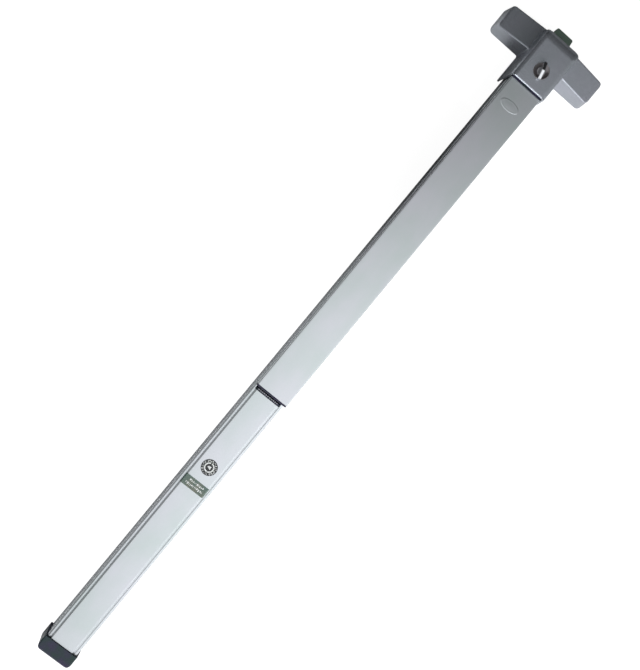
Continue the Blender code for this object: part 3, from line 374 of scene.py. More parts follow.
ALONG_THE_BAR = (18, 2600, 2600)
SPECKLE = (2400, 2400, 2400)
ALUMINIUM = {
    "roughness": 0.30,
    "metallic": 0.95,
    "grain": ALONG_THE_BAR,
    "wear": 0.3,
    "variation": 0.012,
    "bump": 0.000003,
    "spread": 0.04,
}
METALS = {
    "satin_aluminium": {"colour": (0.68, 0.705, 0.72), **ALUMINIUM},
    "bright_aluminium": {"colour": (0.68, 0.71, 0.725), **ALUMINIUM},
    "case_paint": {
        "colour": (0.455, 0.475, 0.515),
        "roughness": 0.25,
        "metallic": 0.75,
        "grain": SPECKLE,
        "wear": 0.5,
        "variation": 0.22,
        "bump": 0.00004,
    },
    # Darker than the case paint: painted shade for the recessed dish round the thumbturn
    "dish_metal": {
        "colour": (0.24, 0.22, 0.22),
        "roughness": 0.30,
        "metallic": 0.8,
        "grain": SPECKLE,
        "wear": 0.5,
        "variation": 0.25,
        "bump": 0.00003,
    },
    "latch_steel": {
        "colour": (0.38, 0.51, 0.42),
        "roughness": 0.42,
        "metallic": 0.8,
        "grain": (900, 900, 900),
        "wear": 0.6,
        "variation": 0.25,
    },
    "zinc_steel": {
        "colour": (0.52, 0.52, 0.47),
        "roughness": 0.38,
        "metallic": 0.95,
        "grain": (700, 700, 700),
        "wear": 0.4,
        "variation": 0.2,
    },
    "spring_steel": {
        "colour": (0.32, 0.33, 0.35),
        "roughness": 0.28,
        "metallic": 1.0,
        "grain": (1500, 1500, 1500),
        "wear": 0.2,
        "variation": 0.15,
    },
    "chrome": {
        "colour": (0.70, 0.69, 0.71),
        "roughness": 0.12,
        "metallic": 1.0,
        "grain": (1200, 1200, 1200),
        "wear": 0.1,
        "variation": 0.05,
        "bump": 0.000004,
    },
}
PLASTICS = {
    "black_plastic": ((0.016, 0.036, 0.034), (0.034, 0.024, 0.066), 0.42),
    "rib_plastic": ((0.30, 0.31, 0.33), (0.38, 0.38, 0.41), 0.5),
}
PRINTS = {
    "seal_print": ((0.014, 0.015, 0.017), (0.04, 0.04, 0.045), (300, 300, 300), 0.03),
    "label_print": ((0.05, 0.13, 0.12), (0.15, 0.16, 0.12), (30, 70, 30), 0.1),
    "pale_print": ((0.86, 0.87, 0.88), (0.70, 0.74, 0.70), (260, 260, 260), 0.1),
}
LOOKS = {name: metal(f"{name}_look", **values) for name, values in METALS.items()}
LOOKS.update({name: plastic(f"{name}_look", *values) for name, values in PLASTICS.items()})
LOOKS.update({name: printed(f"{name}_look", *values) for name, values in PRINTS.items()})


def dress_cad_nodes():
    """Give every CAD node the look of its record slot."""
    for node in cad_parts.values():
        slot = node.data.materials[0].name.split(".")[0]
        node.data.materials.clear()
        node.data.materials.append(LOOKS[slot])


# ---------------------------------------------------------------- mesh helpers


def new_object(name, work):
    mesh = bpy.data.meshes.new(name)
    bmesh.ops.recalc_face_normals(work, faces=work.faces)
    work.to_mesh(mesh)
    work.free()
    obj = bpy.data.objects.new(name, mesh)
    bpy.context.scene.collection.objects.link(obj)
    return obj


def join(obj, pieces):
    """Put the pieces' meshes into an object, with the second of its looks."""
    work = bmesh.new()
    work.from_mesh(obj.data)
    for piece in pieces:
        first = len(work.faces)
        work.from_mesh(piece.data)
        work.faces.ensure_lookup_table()
        for face in work.faces[first:]:
            face.material_index = 1
        bpy.data.objects.remove(piece)
    work.to_mesh(obj.data)
    work.free()


def bake(obj):
    """Make the modifiers' result the object's own mesh."""
    graph = bpy.context.evaluated_depsgraph_get()
    mesh = bpy.data.meshes.new_from_object(obj.evaluated_get(graph))
    obj.modifiers.clear()
    obj.data = mesh
    return obj


def combine(obj, operation, *tools):
    for tool in tools:
        modifier = obj.modifiers.new(tool.name, "BOOLEAN")
        modifier.operation = operation
        modifier.object = tool
        modifier.solver = "EXACT"
    bpy.context.view_layer.update()
    bake(obj)
    for tool in tools:
        bpy.data.objects.remove(tool)
    return obj


def soften(obj, width, segments, angle):
    """Break the sharp edges."""
    bevel = obj.modifiers.new("edges", "BEVEL")
    bevel.width = width
    bevel.segments = segments
    bevel.limit_method = "ANGLE"
    bevel.angle_limit = math.radians(angle)
    bevel.use_clamp_overlap = True
    bpy.context.view_layer.update()
    return bake(obj)


def show(obj, look, body, nodes=(), angle=38):
    """Finish a piece: its look, its shading, its body, and the CAD nodes that it stands for."""
    for each in (look,) if isinstance(look, str) else look:
        obj.data.materials.append(LOOKS[each])
    obj.data.shade_smooth()
    obj.data.set_sharp_from_angle(angle=math.radians(angle))
    weighted = obj.modifiers.new("flat_faces", "WEIGHTED_NORMAL")
    weighted.keep_sharp = True
    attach(obj, body)
    if nodes:
        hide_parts(*nodes)
    return obj


def rounded(corners):
    """Points of a polygon whose corners are (u, v) or, with a fillet, (u, v, radius)."""
    points = []
    for index, corner in enumerate(corners):
        here = Vector(corner[:2])
        if len(corner) == 2:
            points.append(tuple(here))
            continue
        radius = corner[2]
        back = (Vector(corners[index - 1][:2]) - here).normalized()
        ahead = (Vector(corners[(index + 1) % len(corners)][:2]) - here).normalized()
        half = back.angle(ahead) / 2
        centre = here + (back + ahead).normalized() * (radius / math.sin(half))
        spoke = here + back * (radius / math.tan(half)) - centre
        sweep = math.copysign(math.pi - 2 * half, (-back).cross(ahead))
        steps = max(1, round(abs(sweep) / ARC_STEP))
        for number in range(steps + 1):
            turn = sweep * number / steps
            cos, sin = math.cos(turn), math.sin(turn)
            points.append(
                (centre.x + spoke.x * cos - spoke.y * sin, centre.y + spoke.x * sin + spoke.y * cos)
            )
    return points


def other_half(half):
    """Half an outline mirrored and taken backwards, so that it closes the outline."""
    return [(-corner[0], *corner[1:]) for corner in reversed(half)]


def crown(half, top, rise):
    """Points of a slightly arched top, from near its middle out towards its edge."""
    steps = 8
    points = []
    for step in range(steps):
        share = (step + 0.5) / steps
        points.append((half * share * 0.9, top - rise * (share * 0.9) ** 2))
    return points


def bridge(work, rings):
    """Faces between each ring and the next; a ring of one point closes to a tip."""
    faces = []
    for first, second in zip(rings, rings[1:]):
        for side in range(max(len(first), len(second))):
            after = side + 1
            corners = [first[side % len(first)], first[after % len(first)]]
            corners += [second[after % len(second)], second[side % len(second)]]
            corners = list(dict.fromkeys(corners))
            if len(corners) > 2:
                faces.append(work.faces.new(corners))
    return faces


def prism(name, outline, low, high, axis):
    """A flat outline in the other two axes, extruded from low to high along an axis."""

    def corner(point, level):
        if axis == "X":
            return (level, *point)
        if axis == "Y":
            return (point[0], level, point[1])
        return (*point, level)

    work = bmesh.new()
    rings = [[work.verts.new(corner(point, level)) for point in outline] for level in (low, high)]
    bridge(work, rings)
    work.faces.new(rings[0])
    work.faces.new(rings[1])
    return new_object(name, work)


def block(name, low, high):
    outline = [(low[0], low[1]), (high[0], low[1]), (high[0], high[1]), (low[0], high[1])]
    return prism(name, outline, low[2], high[2], "Z")


def circle(u, v, radius, sides):
    return ellipse(u, v, radius, radius, sides)


def ellipse(u, v, radius_u, radius_v, sides):
    turns = [math.tau * side / sides for side in range(sides)]
    return [(u + radius_u * math.cos(turn), v + radius_v * math.sin(turn)) for turn in turns]


def turned(name, profile, matrix, sides=48, closed=False):
    """A (radius, height) profile turned about the local Z axis of a matrix."""
    work = bmesh.new()
    rings = []
    for radius, height in profile:
        points = circle(0, 0, radius, sides) if radius else [(0, 0)]
        rings.append([work.verts.new(matrix @ Vector((*point, height))) for point in points])
    if closed:
        rings.append(rings[0])
    bridge(work, rings)
    return new_object(name, work)


def drill(radius, low, high):
    """The profile of a round tool."""
    return [(0, low), (radius, low), (radius, high), (0, high)]


def tapered_block(name, bottom, top, radius_of_edge, segments):
    """A six-faced block from four bottom and four top corners, with some edges rounded."""
    work = bmesh.new()
    bmesh.ops.create_cube(work, size=1)
    weights = work.edges.layers.float.new("bevel_weight_edge")
    ring = [(-1, -1), (1, -1), (1, 1), (-1, 1)]
    corners = {}
    for vertex in work.verts:
        side = tuple(round(math.copysign(1, value)) for value in vertex.co.xy)
        corners[vertex] = ring.index(side) + (4 if vertex.co.z > 0 else 0)
    places = list(bottom) + list(top)
    widest = max(radius_of_edge.values())
    for edge in work.edges:
        pair = tuple(sorted(corners[vertex] for vertex in edge.verts))
        edge[weights] = radius_of_edge.get(pair, 0.0) / widest
    for vertex, number in corners.items():
        vertex.co = places[number]
    obj = new_object(name, work)
    bevel = obj.modifiers.new("edges", "BEVEL")
    bevel.limit_method = "WEIGHT"
    bevel.width = widest
    bevel.segments = segments
    bpy.context.view_layer.update()
    return obj


# ---------------------------------------------------------------- rail, insert and end cap


def rail_holes():
    """The holes in the rail's floor, as (station, y, radius)."""
    sides = (-1, 1)
    door = [(DOOR_HOLE_STATION, side * DOOR_HOLE_Y, DOOR_HOLE) for side in sides]
    feet = [(station, side * FOOT_SCREW_Y) for station in CRANK_STATIONS for side in sides]
    screws = [*feet, (TONGUE_SCREW, 0)]
    return door + [(station, y, SCREW_HOLE) for station, y in screws]


def make_rail():
    low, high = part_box("rail")
    inside, under_lip = high.y - RAIL_WALL, high.z - RAIL_LIP
    right = [
        (RAIL_OPENING_HALF, high.z, 0.0003),
        (RAIL_OPENING_HALF + RAIL_LIP_FLAT, high.z, 0.0010),
        (high.y, high.z - RAIL_LIP_FALL, 0.0012),
        (high.y, 0, 0.0012),
    ]
    inner = [
        (inside, RAIL_FLOOR, 0.0004),
        (inside, under_lip, 0.0003),
        (RAIL_OPENING_HALF, under_lip, 0.0003),
    ]
    outline = rounded(right + other_half(right) + other_half(inner) + inner)
    rail = soften(prism("rail_extrusion", outline, low.x, high.x, "X"), 0.00015, 1, 60)
    holes = []
    for number, (station, y, radius) in enumerate(rail_holes()):
        place = Matrix.Translation((x_at(station), y, 0))
        holes.append(turned(f"rail_hole_{number}", drill(radius, -0.01, 0.01), place, 24))
    combine(rail, "DIFFERENCE", *holes)
    show(rail, "satin_aluminium", "fixed_frame", ["rail"])


def insert_half(top, flange, ledge):
    """Half of the insert's section: the arched top, the ledge beside it, and the flange below."""
    flat, under = INSERT_FLAT / 2, RAIL_HEIGHT - RAIL_LIP - GAP
    inside = flat - 0.0004
    return crown(flat, top, INSERT_ARCH) + [
        (flat, top - INSERT_ARCH, 0.0012),
        *ledge,
        (ledge[-1][0], under),
        (flange, under),
        (flange, under - INSERT_SHEET),
        (inside, under - INSERT_SHEET),
        (inside, top - INSERT_SHEET),
    ]


def make_insert():
    """The insert's cover, with a groove beside its +Y edge and a shallow ledge on the other side."""
    low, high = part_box("insert_cover")
    bevel_end = high.z - INSERT_BEVEL
    deep = RAIL_HEIGHT - RAIL_LIP - GAP + GROOVE_LEDGE
    groove = [(INSERT_EDGE, bevel_end, 0.0004), (INSERT_EDGE, deep), (GROOVE_END, deep)]
    shallow = [(INSERT_EDGE, bevel_end), (SHALLOW_LEDGE_END, bevel_end)]
    right = insert_half(high.z, high.y, groove)
    left = other_half(insert_half(high.z, high.y, shallow))
    cover = prism("insert_extrusion", rounded(right + left), low.x, high.x, "X")
    show(cover, "bright_aluminium", "fixed_frame", ["insert_cover"])


def make_insert_plug():
    """The black plug at the insert's end, with a row of fine ribs along its top."""
    low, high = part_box("insert_plug")
    flat, shelf = INSERT_FLAT / 2, high.z - PLUG_STEP
    right = [
        (flat, shelf, 0.0006),
        (INSERT_EDGE, high.z - PLUG_BEVEL, 0.0004),
        (INSERT_EDGE, low.z, 0.002),
    ]
    plug = prism("insert_end_plug", rounded(right + other_half(right)), low.x, high.x, "X")
    soften(plug, 0.0003, 2, 50)
    count = int(flat / RIB_PITCH)
    ribs = []
    for number in range(-count, count + 1):
        y = number * RIB_PITCH
        base = (low.x + 0.0014, y - RIB_HALF, shelf - 0.0004)
        ribs.append(block(f"rib_{number}", base, (high.x - 0.0002, y + RIB_HALF, high.z)))
    join(plug, ribs)
    show(plug, ("black_plastic", "rib_plastic"), "fixed_frame", ["insert_plug"])


def make_end_cap():
    """The hood: at the door it is longer at both ends and wider than at its top."""
    low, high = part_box("end_cap")
    base, half = high.y, high.y - CAP_FLARE
    ring = [(low.x, -1), (high.x, -1), (high.x, 1), (low.x, 1)]
    bottom = [(x, side * base, 0) for x, side in ring]
    inset = {low.x: CAP_SLOPE, high.x: -CAP_FOOT}
    top = [(x + inset[x], side * half, high.z) for x, side in ring]
    edges = {(0, 4): CAP_CORNER, (3, 7): CAP_CORNER, (1, 2): CAP_FOOT}
    edges.update({(4, 5): CAP_EDGE, (6, 7): CAP_EDGE, (4, 7): CAP_EDGE, (5, 6): CAP_INNER_EDGE})
    cap = bake(tapered_block("end_cap_hood", bottom, top, edges, 8))
    rail_half, insert_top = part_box("rail")[1].y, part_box("insert_cover")[1].z
    hollow = block(
        "cap_hollow",
        (x_at(CAP_WALL), -rail_half - GAP, -0.01),
        (x_at(CAP_HOLLOW_END), rail_half + GAP, insert_top + GAP),
    )
    outer_end = Matrix.Translation((x_at(0), 0, CAP_SCREW_HEIGHT))
    across = outer_end @ Matrix.Rotation(-math.pi / 2, 4, "Y")
    seat = turned("cap_seat", drill(CAP_SEAT_RADIUS, -CAP_SEAT, 0.01), across)
    combine(cap, "DIFFERENCE", hollow, seat)
    show(cap, "black_plastic", "fixed_frame", ["end_cap"])


# ---------------------------------------------------------------- stickers and emblem


def flat_shapes(name, shapes, low, high):
    """Thin plates in one piece: each is (outline in x and y, material number, extra height)."""
    work = bmesh.new()
    for outline, material, lift in shapes:
        rings = [[work.verts.new((*point, z)) for point in outline] for z in (low, high + lift)]
        made = [work.faces.new(rings[0]), work.faces.new(rings[1])]
        made += bridge(work, rings)
        for face in made:
            face.material_index = material
    return new_object(name, work)


def arc_band(middle, inner, outer, start, sweep):
    """The outline of a piece of a ring."""
    steps = max(2, round(sweep / math.radians(9)))
    turns = [start + sweep * step / steps for step in range(steps + 1)]
    points = [(outer, turn) for turn in turns] + [(inner, turn) for turn in reversed(turns)]
    return [(middle.x + r * math.cos(turn), middle.y + r * math.sin(turn)) for r, turn in points]


def make_seal():
    low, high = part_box("seal_disc")
    middle = (low + high) / 2
    radius = (high.x - low.x) / 2
    layer = 0.00002
    draw = random.Random(5)
    shapes = [(circle(middle.x, middle.y, radius, 64), 0, 0)]
    rows = ((0.86, 17), (0.74, 13))
    for row, (share, marks) in enumerate(rows):
        for number in range(marks):
            start = math.tau * (number + 0.5 * row + draw.uniform(-0.2, 0.2)) / marks
            sweep = math.tau / marks * draw.uniform(0.25, 0.6)
            inner = radius * (share - draw.uniform(0.01, 0.05))
            band = arc_band(middle, inner, radius * (share + 0.04), start, sweep)
            shapes.append((band, 1, layer))
    for start, sweep in ((0.3, 3.0), (3.4, 2.9)):
        shapes.append((arc_band(middle, radius * 0.47, radius * 0.62, start, sweep), 1, layer))
    wedge = [(-0.0024, -0.0024), (0.0026, -0.0020), (0.0016, 0.0014), (0.0000, 0.0030)]
    shapes.append(([(middle.x + u, middle.y + v) for u, v in wedge], 1, layer))
    seal = flat_shapes("round_seal", shapes, low.z, high.z - layer)
    show(seal, ("seal_print", "pale_print"), "fixed_frame", ["seal_disc"])


def make_label():
    """The printed strip that wraps over both bevels, with irregular pale marks for print."""
    low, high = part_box("label_plate")
    slope = Vector((INSERT_EDGE - INSERT_FLAT / 2, -INSERT_BEVEL)).normalized()
    outward = Vector((-slope.y, slope.x))
    half_turn = math.atan2(-slope.y, slope.x) / 2
    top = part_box("insert_cover")[1].z

    def edge(gap):
        flat_end = Vector((INSERT_FLAT / 2, top))
        corner = flat_end + Vector((gap * math.tan(half_turn), gap))
        return [tuple(corner), tuple(flat_end + slope * LABEL_WRAP + outward * gap)]

    right = edge(LABEL_TOP) + edge(LABEL_GAP)[::-1]
    strip = prism("warning_label", right + other_half(right), low.x, high.x, "X")
    draw = random.Random(11)
    shapes = []
    lines = ((0.70, 0.0013, -0.0125, 0.0090), (0.34, 0.0017, -0.0140, 0.0130))
    for share, tall, first, last in lines:
        middle = low.x + (high.x - low.x) * share
        y = first
        while y < last:
            wide, reach = draw.uniform(0.0006, 0.0020), tall * draw.uniform(0.5, 1.0)
            x = middle + draw.uniform(-0.0004, 0.0004)
            mark = [(x - reach, y), (x + reach, y), (x + reach, y + wide), (x - reach, y + wide)]
            shapes.append((mark, 0, 0))
            y += wide + draw.uniform(0.0007, 0.0016)
    marks = flat_shapes("label_marks", shapes, *(top + height for height in LABEL_MARKS))
    join(strip, [marks])
    show(strip, ("label_print", "pale_print"), "fixed_frame", ["label_plate"])


def make_emblem():
    """A raised oval: a rim of (share of the radius, share of the height) and a low dome inside."""
    low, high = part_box("pad_emblem")
    middle = (low + high) / 2
    half_x, half_y = (high.x - low.x) / 2, (high.y - low.y) / 2
    tall = high.z - low.z
    rim = [(1.0, 0.0), (0.97, 0.22), (0.93, 0.36), (0.86, 0.42), (0.78, 0.36), (0.7, 0.33)]
    work = bmesh.new()
    rings = []
    for share, height in rim + [(0.4, 0.45)]:
        points = ellipse(middle.x, middle.y, half_x * share, half_y * share, 64)
        rings.append([work.verts.new((*point, low.z + tall * height)) for point in points])
    rings.append([work.verts.new((middle.x, middle.y, low.z + tall * 0.5))])
    bridge(work, rings)
    work.faces.new(rings[0])
    show(new_object("raised_emblem", work), "satin_aluminium", "push_bar", ["pad_emblem"], 60)


# ---------------------------------------------------------------- push pad


def make_push_pad():
    low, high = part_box("push_pad")
    half, top = high.y, high.z
    inner_leg = PAD_LEG - PAD_LEG_SHEET
    right = crown(half, top, PAD_ARCH) + [
        (half, top - PAD_ARCH, PAD_CORNER),
        (half, top - PAD_SKIRT, 0.0005),
        (half - PAD_SHEET, top - PAD_SKIRT, 0.0005),
        (half - PAD_SHEET, top - PAD_SHEET),
        (PAD_LEG, top - PAD_SHEET),
        (PAD_LEG, low.z),
        (inner_leg, low.z),
        (inner_leg, top - PAD_SHEET),
    ]
    pad = prism("pad_extrusion", rounded(right + other_half(right)), low.x, high.x, "X")
    show(pad, "satin_aluminium", "push_bar", ["push_pad"])
    make_pad_plug("pad_end_plug", "pad_near_plug", top - PAD_SKIRT)
    make_pad_plug("pad_head_plug", "pad_far_plug", top - PAD_SKIRT, PAD_PLUG_NOTCH)


def make_pad_plug(node, name, skirt_end, notch=None):
    """A plug that closes the pad's end, with a notch from below if the draw rod passes it."""
    low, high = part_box(node)
    leg = PAD_LEG - PAD_PLUG_INSET
    right = [(high.y, high.z, PAD_CORNER), (high.y, skirt_end, 0.0006), (leg, skirt_end)]
    right.append((leg, low.z, 0.001))
    if notch:
        right += [(notch[0], low.z), notch]
    plug = prism(name, rounded(right + other_half(right)), low.x, high.x, "X")
    show(soften(plug, 0.0004, 2, 50), "black_plastic", "push_bar", [node])


# ---------------------------------------------------------------- head


def centre_block(name, inset, start, bottom, segments):
    """The centre section of the head, or its hollow when inset by the wall."""
    top = CASE_TOP - inset
    low_half = CASE_BASE_HALF - inset - CASE_LEAN * bottom
    high_half = CASE_BASE_HALF - inset - CASE_LEAN * top
    near, far = x_at(start), x_at(CASE_END - inset)
    ring = [(near, -1), (far, -1), (far, 1), (near, 1)]
    low = [(x, side * low_half, bottom) for x, side in ring]
    high = [(x, side * high_half, top) for x, side in ring]
    edge, nose, corner = CASE_EDGE - inset, CASE_NOSE - inset, CASE_CORNER - inset
    edges = {(4, 5): edge, (6, 7): edge, (5, 6): nose, (1, 5): corner, (2, 6): corner}
    if not inset:
        edges.update({(4, 7): CASE_NEAR_EDGE, (0, 4): CASE_NEAR_EDGE, (3, 7): CASE_NEAR_EDGE})
    return tapered_block(name, low, high, edges, segments)


def wing_near(z, inset=0):
    """The X of the wings' near face at a height."""
    return x_at(WING_NEAR + inset) + WING_NEAR_DRAFT * z


def wing_far(z, inset=0):
    """The X of the wings' far face at a height."""
    return x_at(WING_FAR - inset) - WING_FAR_DRAFT * z


def wing_block(name, inset, bottom, segments):
    """Both wings as one bar across the head: a half, mirrored in the plane y = 0."""
    lean = (WING_TIP - WING_TIP_TOP) / WING_TIP_HEIGHT
    tip_top = WING_TIP_HEIGHT - inset
    tip_high = WING_TIP - inset - lean * tip_top
    tip_low = WING_TIP - inset - lean * bottom
    root = tip_top + WING_RISE * tip_high
    low = [(wing_near(bottom, inset), 0), (wing_far(bottom, inset), 0)]
    low += [(wing_far(bottom, inset) - WING_SWEEP, tip_low), (wing_near(bottom, inset), tip_low)]
    high = [
        (wing_near(root, inset), 0, root),
        (wing_far(root, inset), 0, root),
        (wing_far(tip_top, inset) - WING_SWEEP, tip_high, tip_top),
        (wing_near(tip_top, inset), tip_high, tip_top),
    ]
    edge = max(WING_EDGE - inset, 0.0004)
    edges = {(2, 6): WING_FAR_CORNER - inset, (3, 7): WING_CORNER - inset}
    edges.update({(5, 6): edge, (6, 7): edge * 2, (4, 7): edge})
    wing = tapered_block(name, [(*point, bottom) for point in low], high, edges, segments)
    work = bmesh.new()
    work.from_mesh(wing.data)
    root_face = [face for face in work.faces if all(abs(v.co.y) < WELD for v in face.verts)]
    bmesh.ops.delete(work, geom=root_face, context="FACES_ONLY")
    work.to_mesh(wing.data)
    work.free()
    mirror = wing.modifiers.new("both", "MIRROR")
    mirror.use_axis = (False, True, False)
    mirror.merge_threshold = WELD
    bpy.context.view_layer.update()
    return bake(wing)


def cove(name, side):
    """The fillet where a wing leaves the centre section: up its near face, then over its top."""

    def on_side(x, z):
        return Vector((x, side * (CASE_BASE_HALF - CASE_LEAN * z), z))

    root_height = 0.04
    reach = WING_TIP_TOP - CASE_BASE_HALF + CASE_LEAN * root_height
    top_z = WING_TIP_HEIGHT + WING_RISE * reach
    bend = Vector((wing_near(top_z) + WING_EDGE, top_z - WING_EDGE))
    foot, sunk, buried = 0.0001, 0.0001, 0.001
    path = [(Vector((wing_near(foot), foot)), Vector((-1, 0)))]
    for step in range(5):
        turn = math.radians(90 * step / 4)
        outward = Vector((-math.cos(turn), math.sin(turn)))
        path.append((bend + outward * WING_EDGE, outward))
    path.append((Vector((wing_far(top_z) - WING_EDGE, top_z)), Vector((0, 1))))
    away = Vector((0, side, 0))
    arc_steps = 6
    work = bmesh.new()
    rings = []
    for (x, z), outward in path:
        base = on_side(x, z)
        along = Vector((outward.x, 0, outward.y))
        fall = Vector((0, 0, -WING_RISE)) * outward.y
        ring = [work.verts.new(base - along * buried - away * buried)]
        for step in range(arc_steps + 1):
            turn = math.radians(90 * step / arc_steps)
            u = COVE_RADIUS * (1 - math.sin(turn)) - sunk
            v = COVE_RADIUS * (1 - math.cos(turn)) - sunk
            ring.append(work.verts.new(base + along * u + (away + fall) * v))
        rings.append(ring)
    bridge(work, rings)
    work.faces.new(rings[0])
    work.faces.new(rings[-1])
    return new_object(name, work)


def make_head_case():
    case = bake(centre_block("head_casting", 0, CASE_START, 0, 10))
    combine(case, "UNION", wing_block("wings", 0, 0, 8))
    combine(case, "UNION", cove("cove_1", 1), cove("cove_2", -1))
    hollow = bake(centre_block("centre_hollow", CASE_WALL, CASE_START - 0.02, -0.005, 3))
    wing_hollow = wing_block("wing_hollow", CASE_WALL, -0.005, 3)
    slot = block(
        "latch_slot",
        (x_at(LATCH_SLOT_STATIONS[0]), -LATCH_SLOT_HALF, LATCH_SLOT_HEIGHTS[0]),
        (x_at(LATCH_SLOT_STATIONS[1]), LATCH_SLOT_HALF, LATCH_SLOT_HEIGHTS[1]),
    )
    place = Matrix.Translation((x_at(TURN_STATION), 0, 0))
    dish_tool = drill(COLLAR_RADIUS + GAP, CASE_TOP - 0.005, CASE_TOP + 0.005)
    dish = turned("dish", dish_tool, place, 64)
    combine(case, "DIFFERENCE", hollow, wing_hollow, slot, dish)
    for number, side in enumerate((-1, 1), 1):
        seat_place = Matrix.Translation((x_at(CASE_SEAT_DEPTH), side * CASE_SCREW_Y, CASE_SCREW_Z))
        along = seat_place @ Matrix.Rotation(math.pi / 2, 4, "Y")
        seat = turned(f"seat_{number}", drill(CASE_SEAT_RADIUS, 0, 0.006), along)
        combine(case, "DIFFERENCE", seat)
    show(case, "case_paint", "fixed_frame", ["head_case"], 32)


def make_collar():
    """The dish that the thumbturn stands in, with a flange under the case's wall."""
    low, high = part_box("turn_collar")
    rim, flange_top = high.z, low.z + COLLAR_FLANGE_THICK
    profile = [
        (COLLAR_RADIUS, rim - 0.0002),
        (COLLAR_RADIUS, flange_top),
        (COLLAR_FLANGE, flange_top),
        (COLLAR_FLANGE, low.z),
        (BOWL[0][0], low.z),
    ]
    profile += [(radius, rim - depth) for radius, depth in BOWL]
    profile += [
        (COLLAR_RADIUS - 0.0011, rim - 0.0002),
        (COLLAR_RADIUS - 0.0007, rim),
        (COLLAR_RADIUS - 0.0002, rim),
    ]
    place = Matrix.Translation((x_at(TURN_STATION), 0, 0))
    collar = turned("turn_dish", profile, place, 64, closed=True)
    # The dish's dark metal is painted shade for its recess
    show(collar, "dish_metal", "fixed_frame", ["turn_collar"])


def make_thumbturn():
    """The chrome blade, with a ridge along its top, on a round base."""
    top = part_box("thumbturn")[1].z
    right = [
        (TURN_NECK_HALF, TURN_LOW),
        (TURN_HALF, TURN_SHOULDER, 0.001),
        (TURN_HALF, top - TURN_DROP, 0.0020),
    ]
    outline = rounded(right + [(0, top + 0.0001, 0.004)] + other_half(right))
    blade = prism("turn_blade", outline, -TURN_THICK / 2, TURN_THICK / 2, "Y")
    soften(blade, 0.0009, 4, 60)
    spin = Matrix.Translation((x_at(TURN_STATION), 0, 0)) @ Matrix.Rotation(TURN_ANGLE, 4, "Z")
    blade.data.transform(spin)
    low, high = TURN_BASE_HEIGHTS
    profile = [(0, low), (TURN_BASE_RADIUS, low), (TURN_BASE_RADIUS, high - 0.00035)]
    profile += [(TURN_BASE_RADIUS - 0.0003, high), (0, high)]
    combine(blade, "UNION", turned("turn_base", profile, spin))
    show(blade, "chrome", "turn_unit", ["thumbturn"])


def make_latch():
    """The bolt: its side outline crossed with its plan, and two ears behind for the lever's pin."""
    low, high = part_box("latch_bolt")
    rear, tip, half = x_at(LATCH_REAR), high.x, high.y
    side = rounded(
        [
            (rear, low.z),
            (tip, low.z, 0.002),
            (tip, low.z + LATCH_NOSE, 0.002),
            (tip - LATCH_BEVEL, high.z, 0.003),
            (rear, high.z),
        ]
    )
    narrow = half - LATCH_NARROWING
    behind, shoulder = rear - 0.01, tip - LATCH_TAPER
    plan = rounded(
        [
            (behind, -half),
            (shoulder, -half),
            (tip, -narrow, LATCH_CORNER),
            (tip, narrow, LATCH_CORNER),
            (shoulder, half),
            (behind, half),
        ]
    )
    bolt = prism("latch_tongue", side, -half - 0.001, half + 0.001, "Y")
    combine(bolt, "INTERSECT", prism("latch_plan", plan, 0, 0.05, "Z"))
    soften(bolt, 0.0006, 3, 50)
    tail = low.x
    bottom, top = LATCH_EAR_HEIGHTS
    for number, sign in enumerate((-1, 1), 1):
        near, far = sorted(sign * y for y in LATCH_EAR_SIDES)
        ear = block(f"ear_{number}", (tail, near, bottom), (rear + 0.002, far, top))
        combine(bolt, "UNION", ear)
    pin = Matrix.Translation((tail + LATCH_PIN_INSET, 0, LATCH_PIN_HEIGHT))
    across = pin @ Matrix.Rotation(math.pi / 2, 4, "X")
    hole = turned("pin_hole", drill(LATCH_PIN_HOLE, -0.02, 0.02), across, 24)
    combine(bolt, "DIFFERENCE", hole)
    show(bolt, "latch_steel", "latch", ["latch_bolt"])


# ---------------------------------------------------------------- springs and screws


def make_spring(name, node, shape):
    """A wire coil along X between the node's ends, with closed turns at both ends."""
    low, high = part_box(node)
    radius, wire, turns = shape
    y, z = (low.y + high.y) / 2, (low.z + high.z) / 2
    start, end = low.x + wire, high.x - wire
    per_turn, sides, closed_turns = 20, 8, 0.75
    count = turns * per_turn
    work = bmesh.new()
    rings = []
    for index in range(count + 1):
        climb = (index / count * turns - closed_turns) / (turns - 2 * closed_turns)
        centre = Vector((start + (end - start) * min(1, max(0, climb)), y, z))
        angle = math.tau * index / per_turn
        outward = Vector((0, math.cos(angle), math.sin(angle)))
        centre += outward * radius
        ring = []
        for u, v in circle(0, 0, wire, sides):
            ring.append(work.verts.new(centre + outward * u + Vector((v, 0, 0))))
        rings.append(ring)
    bridge(work, rings)
    work.faces.new(rings[0])
    work.faces.new(rings[-1])
    coil = new_object(name, work)
    show(coil, "spring_steel", "fixed_frame", [node])
    coil.modifiers.clear()
    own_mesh(coil)


def make_springs():
    for number in (1, 2):
        name, node = f"return_coil_{number}", f"return_spring_{number}"
        make_spring(name, node, RETURN_COIL)
        name, node = f"latch_coil_{number}", f"latch_spring_{number}"
        make_spring(name, node, LATCH_COIL)


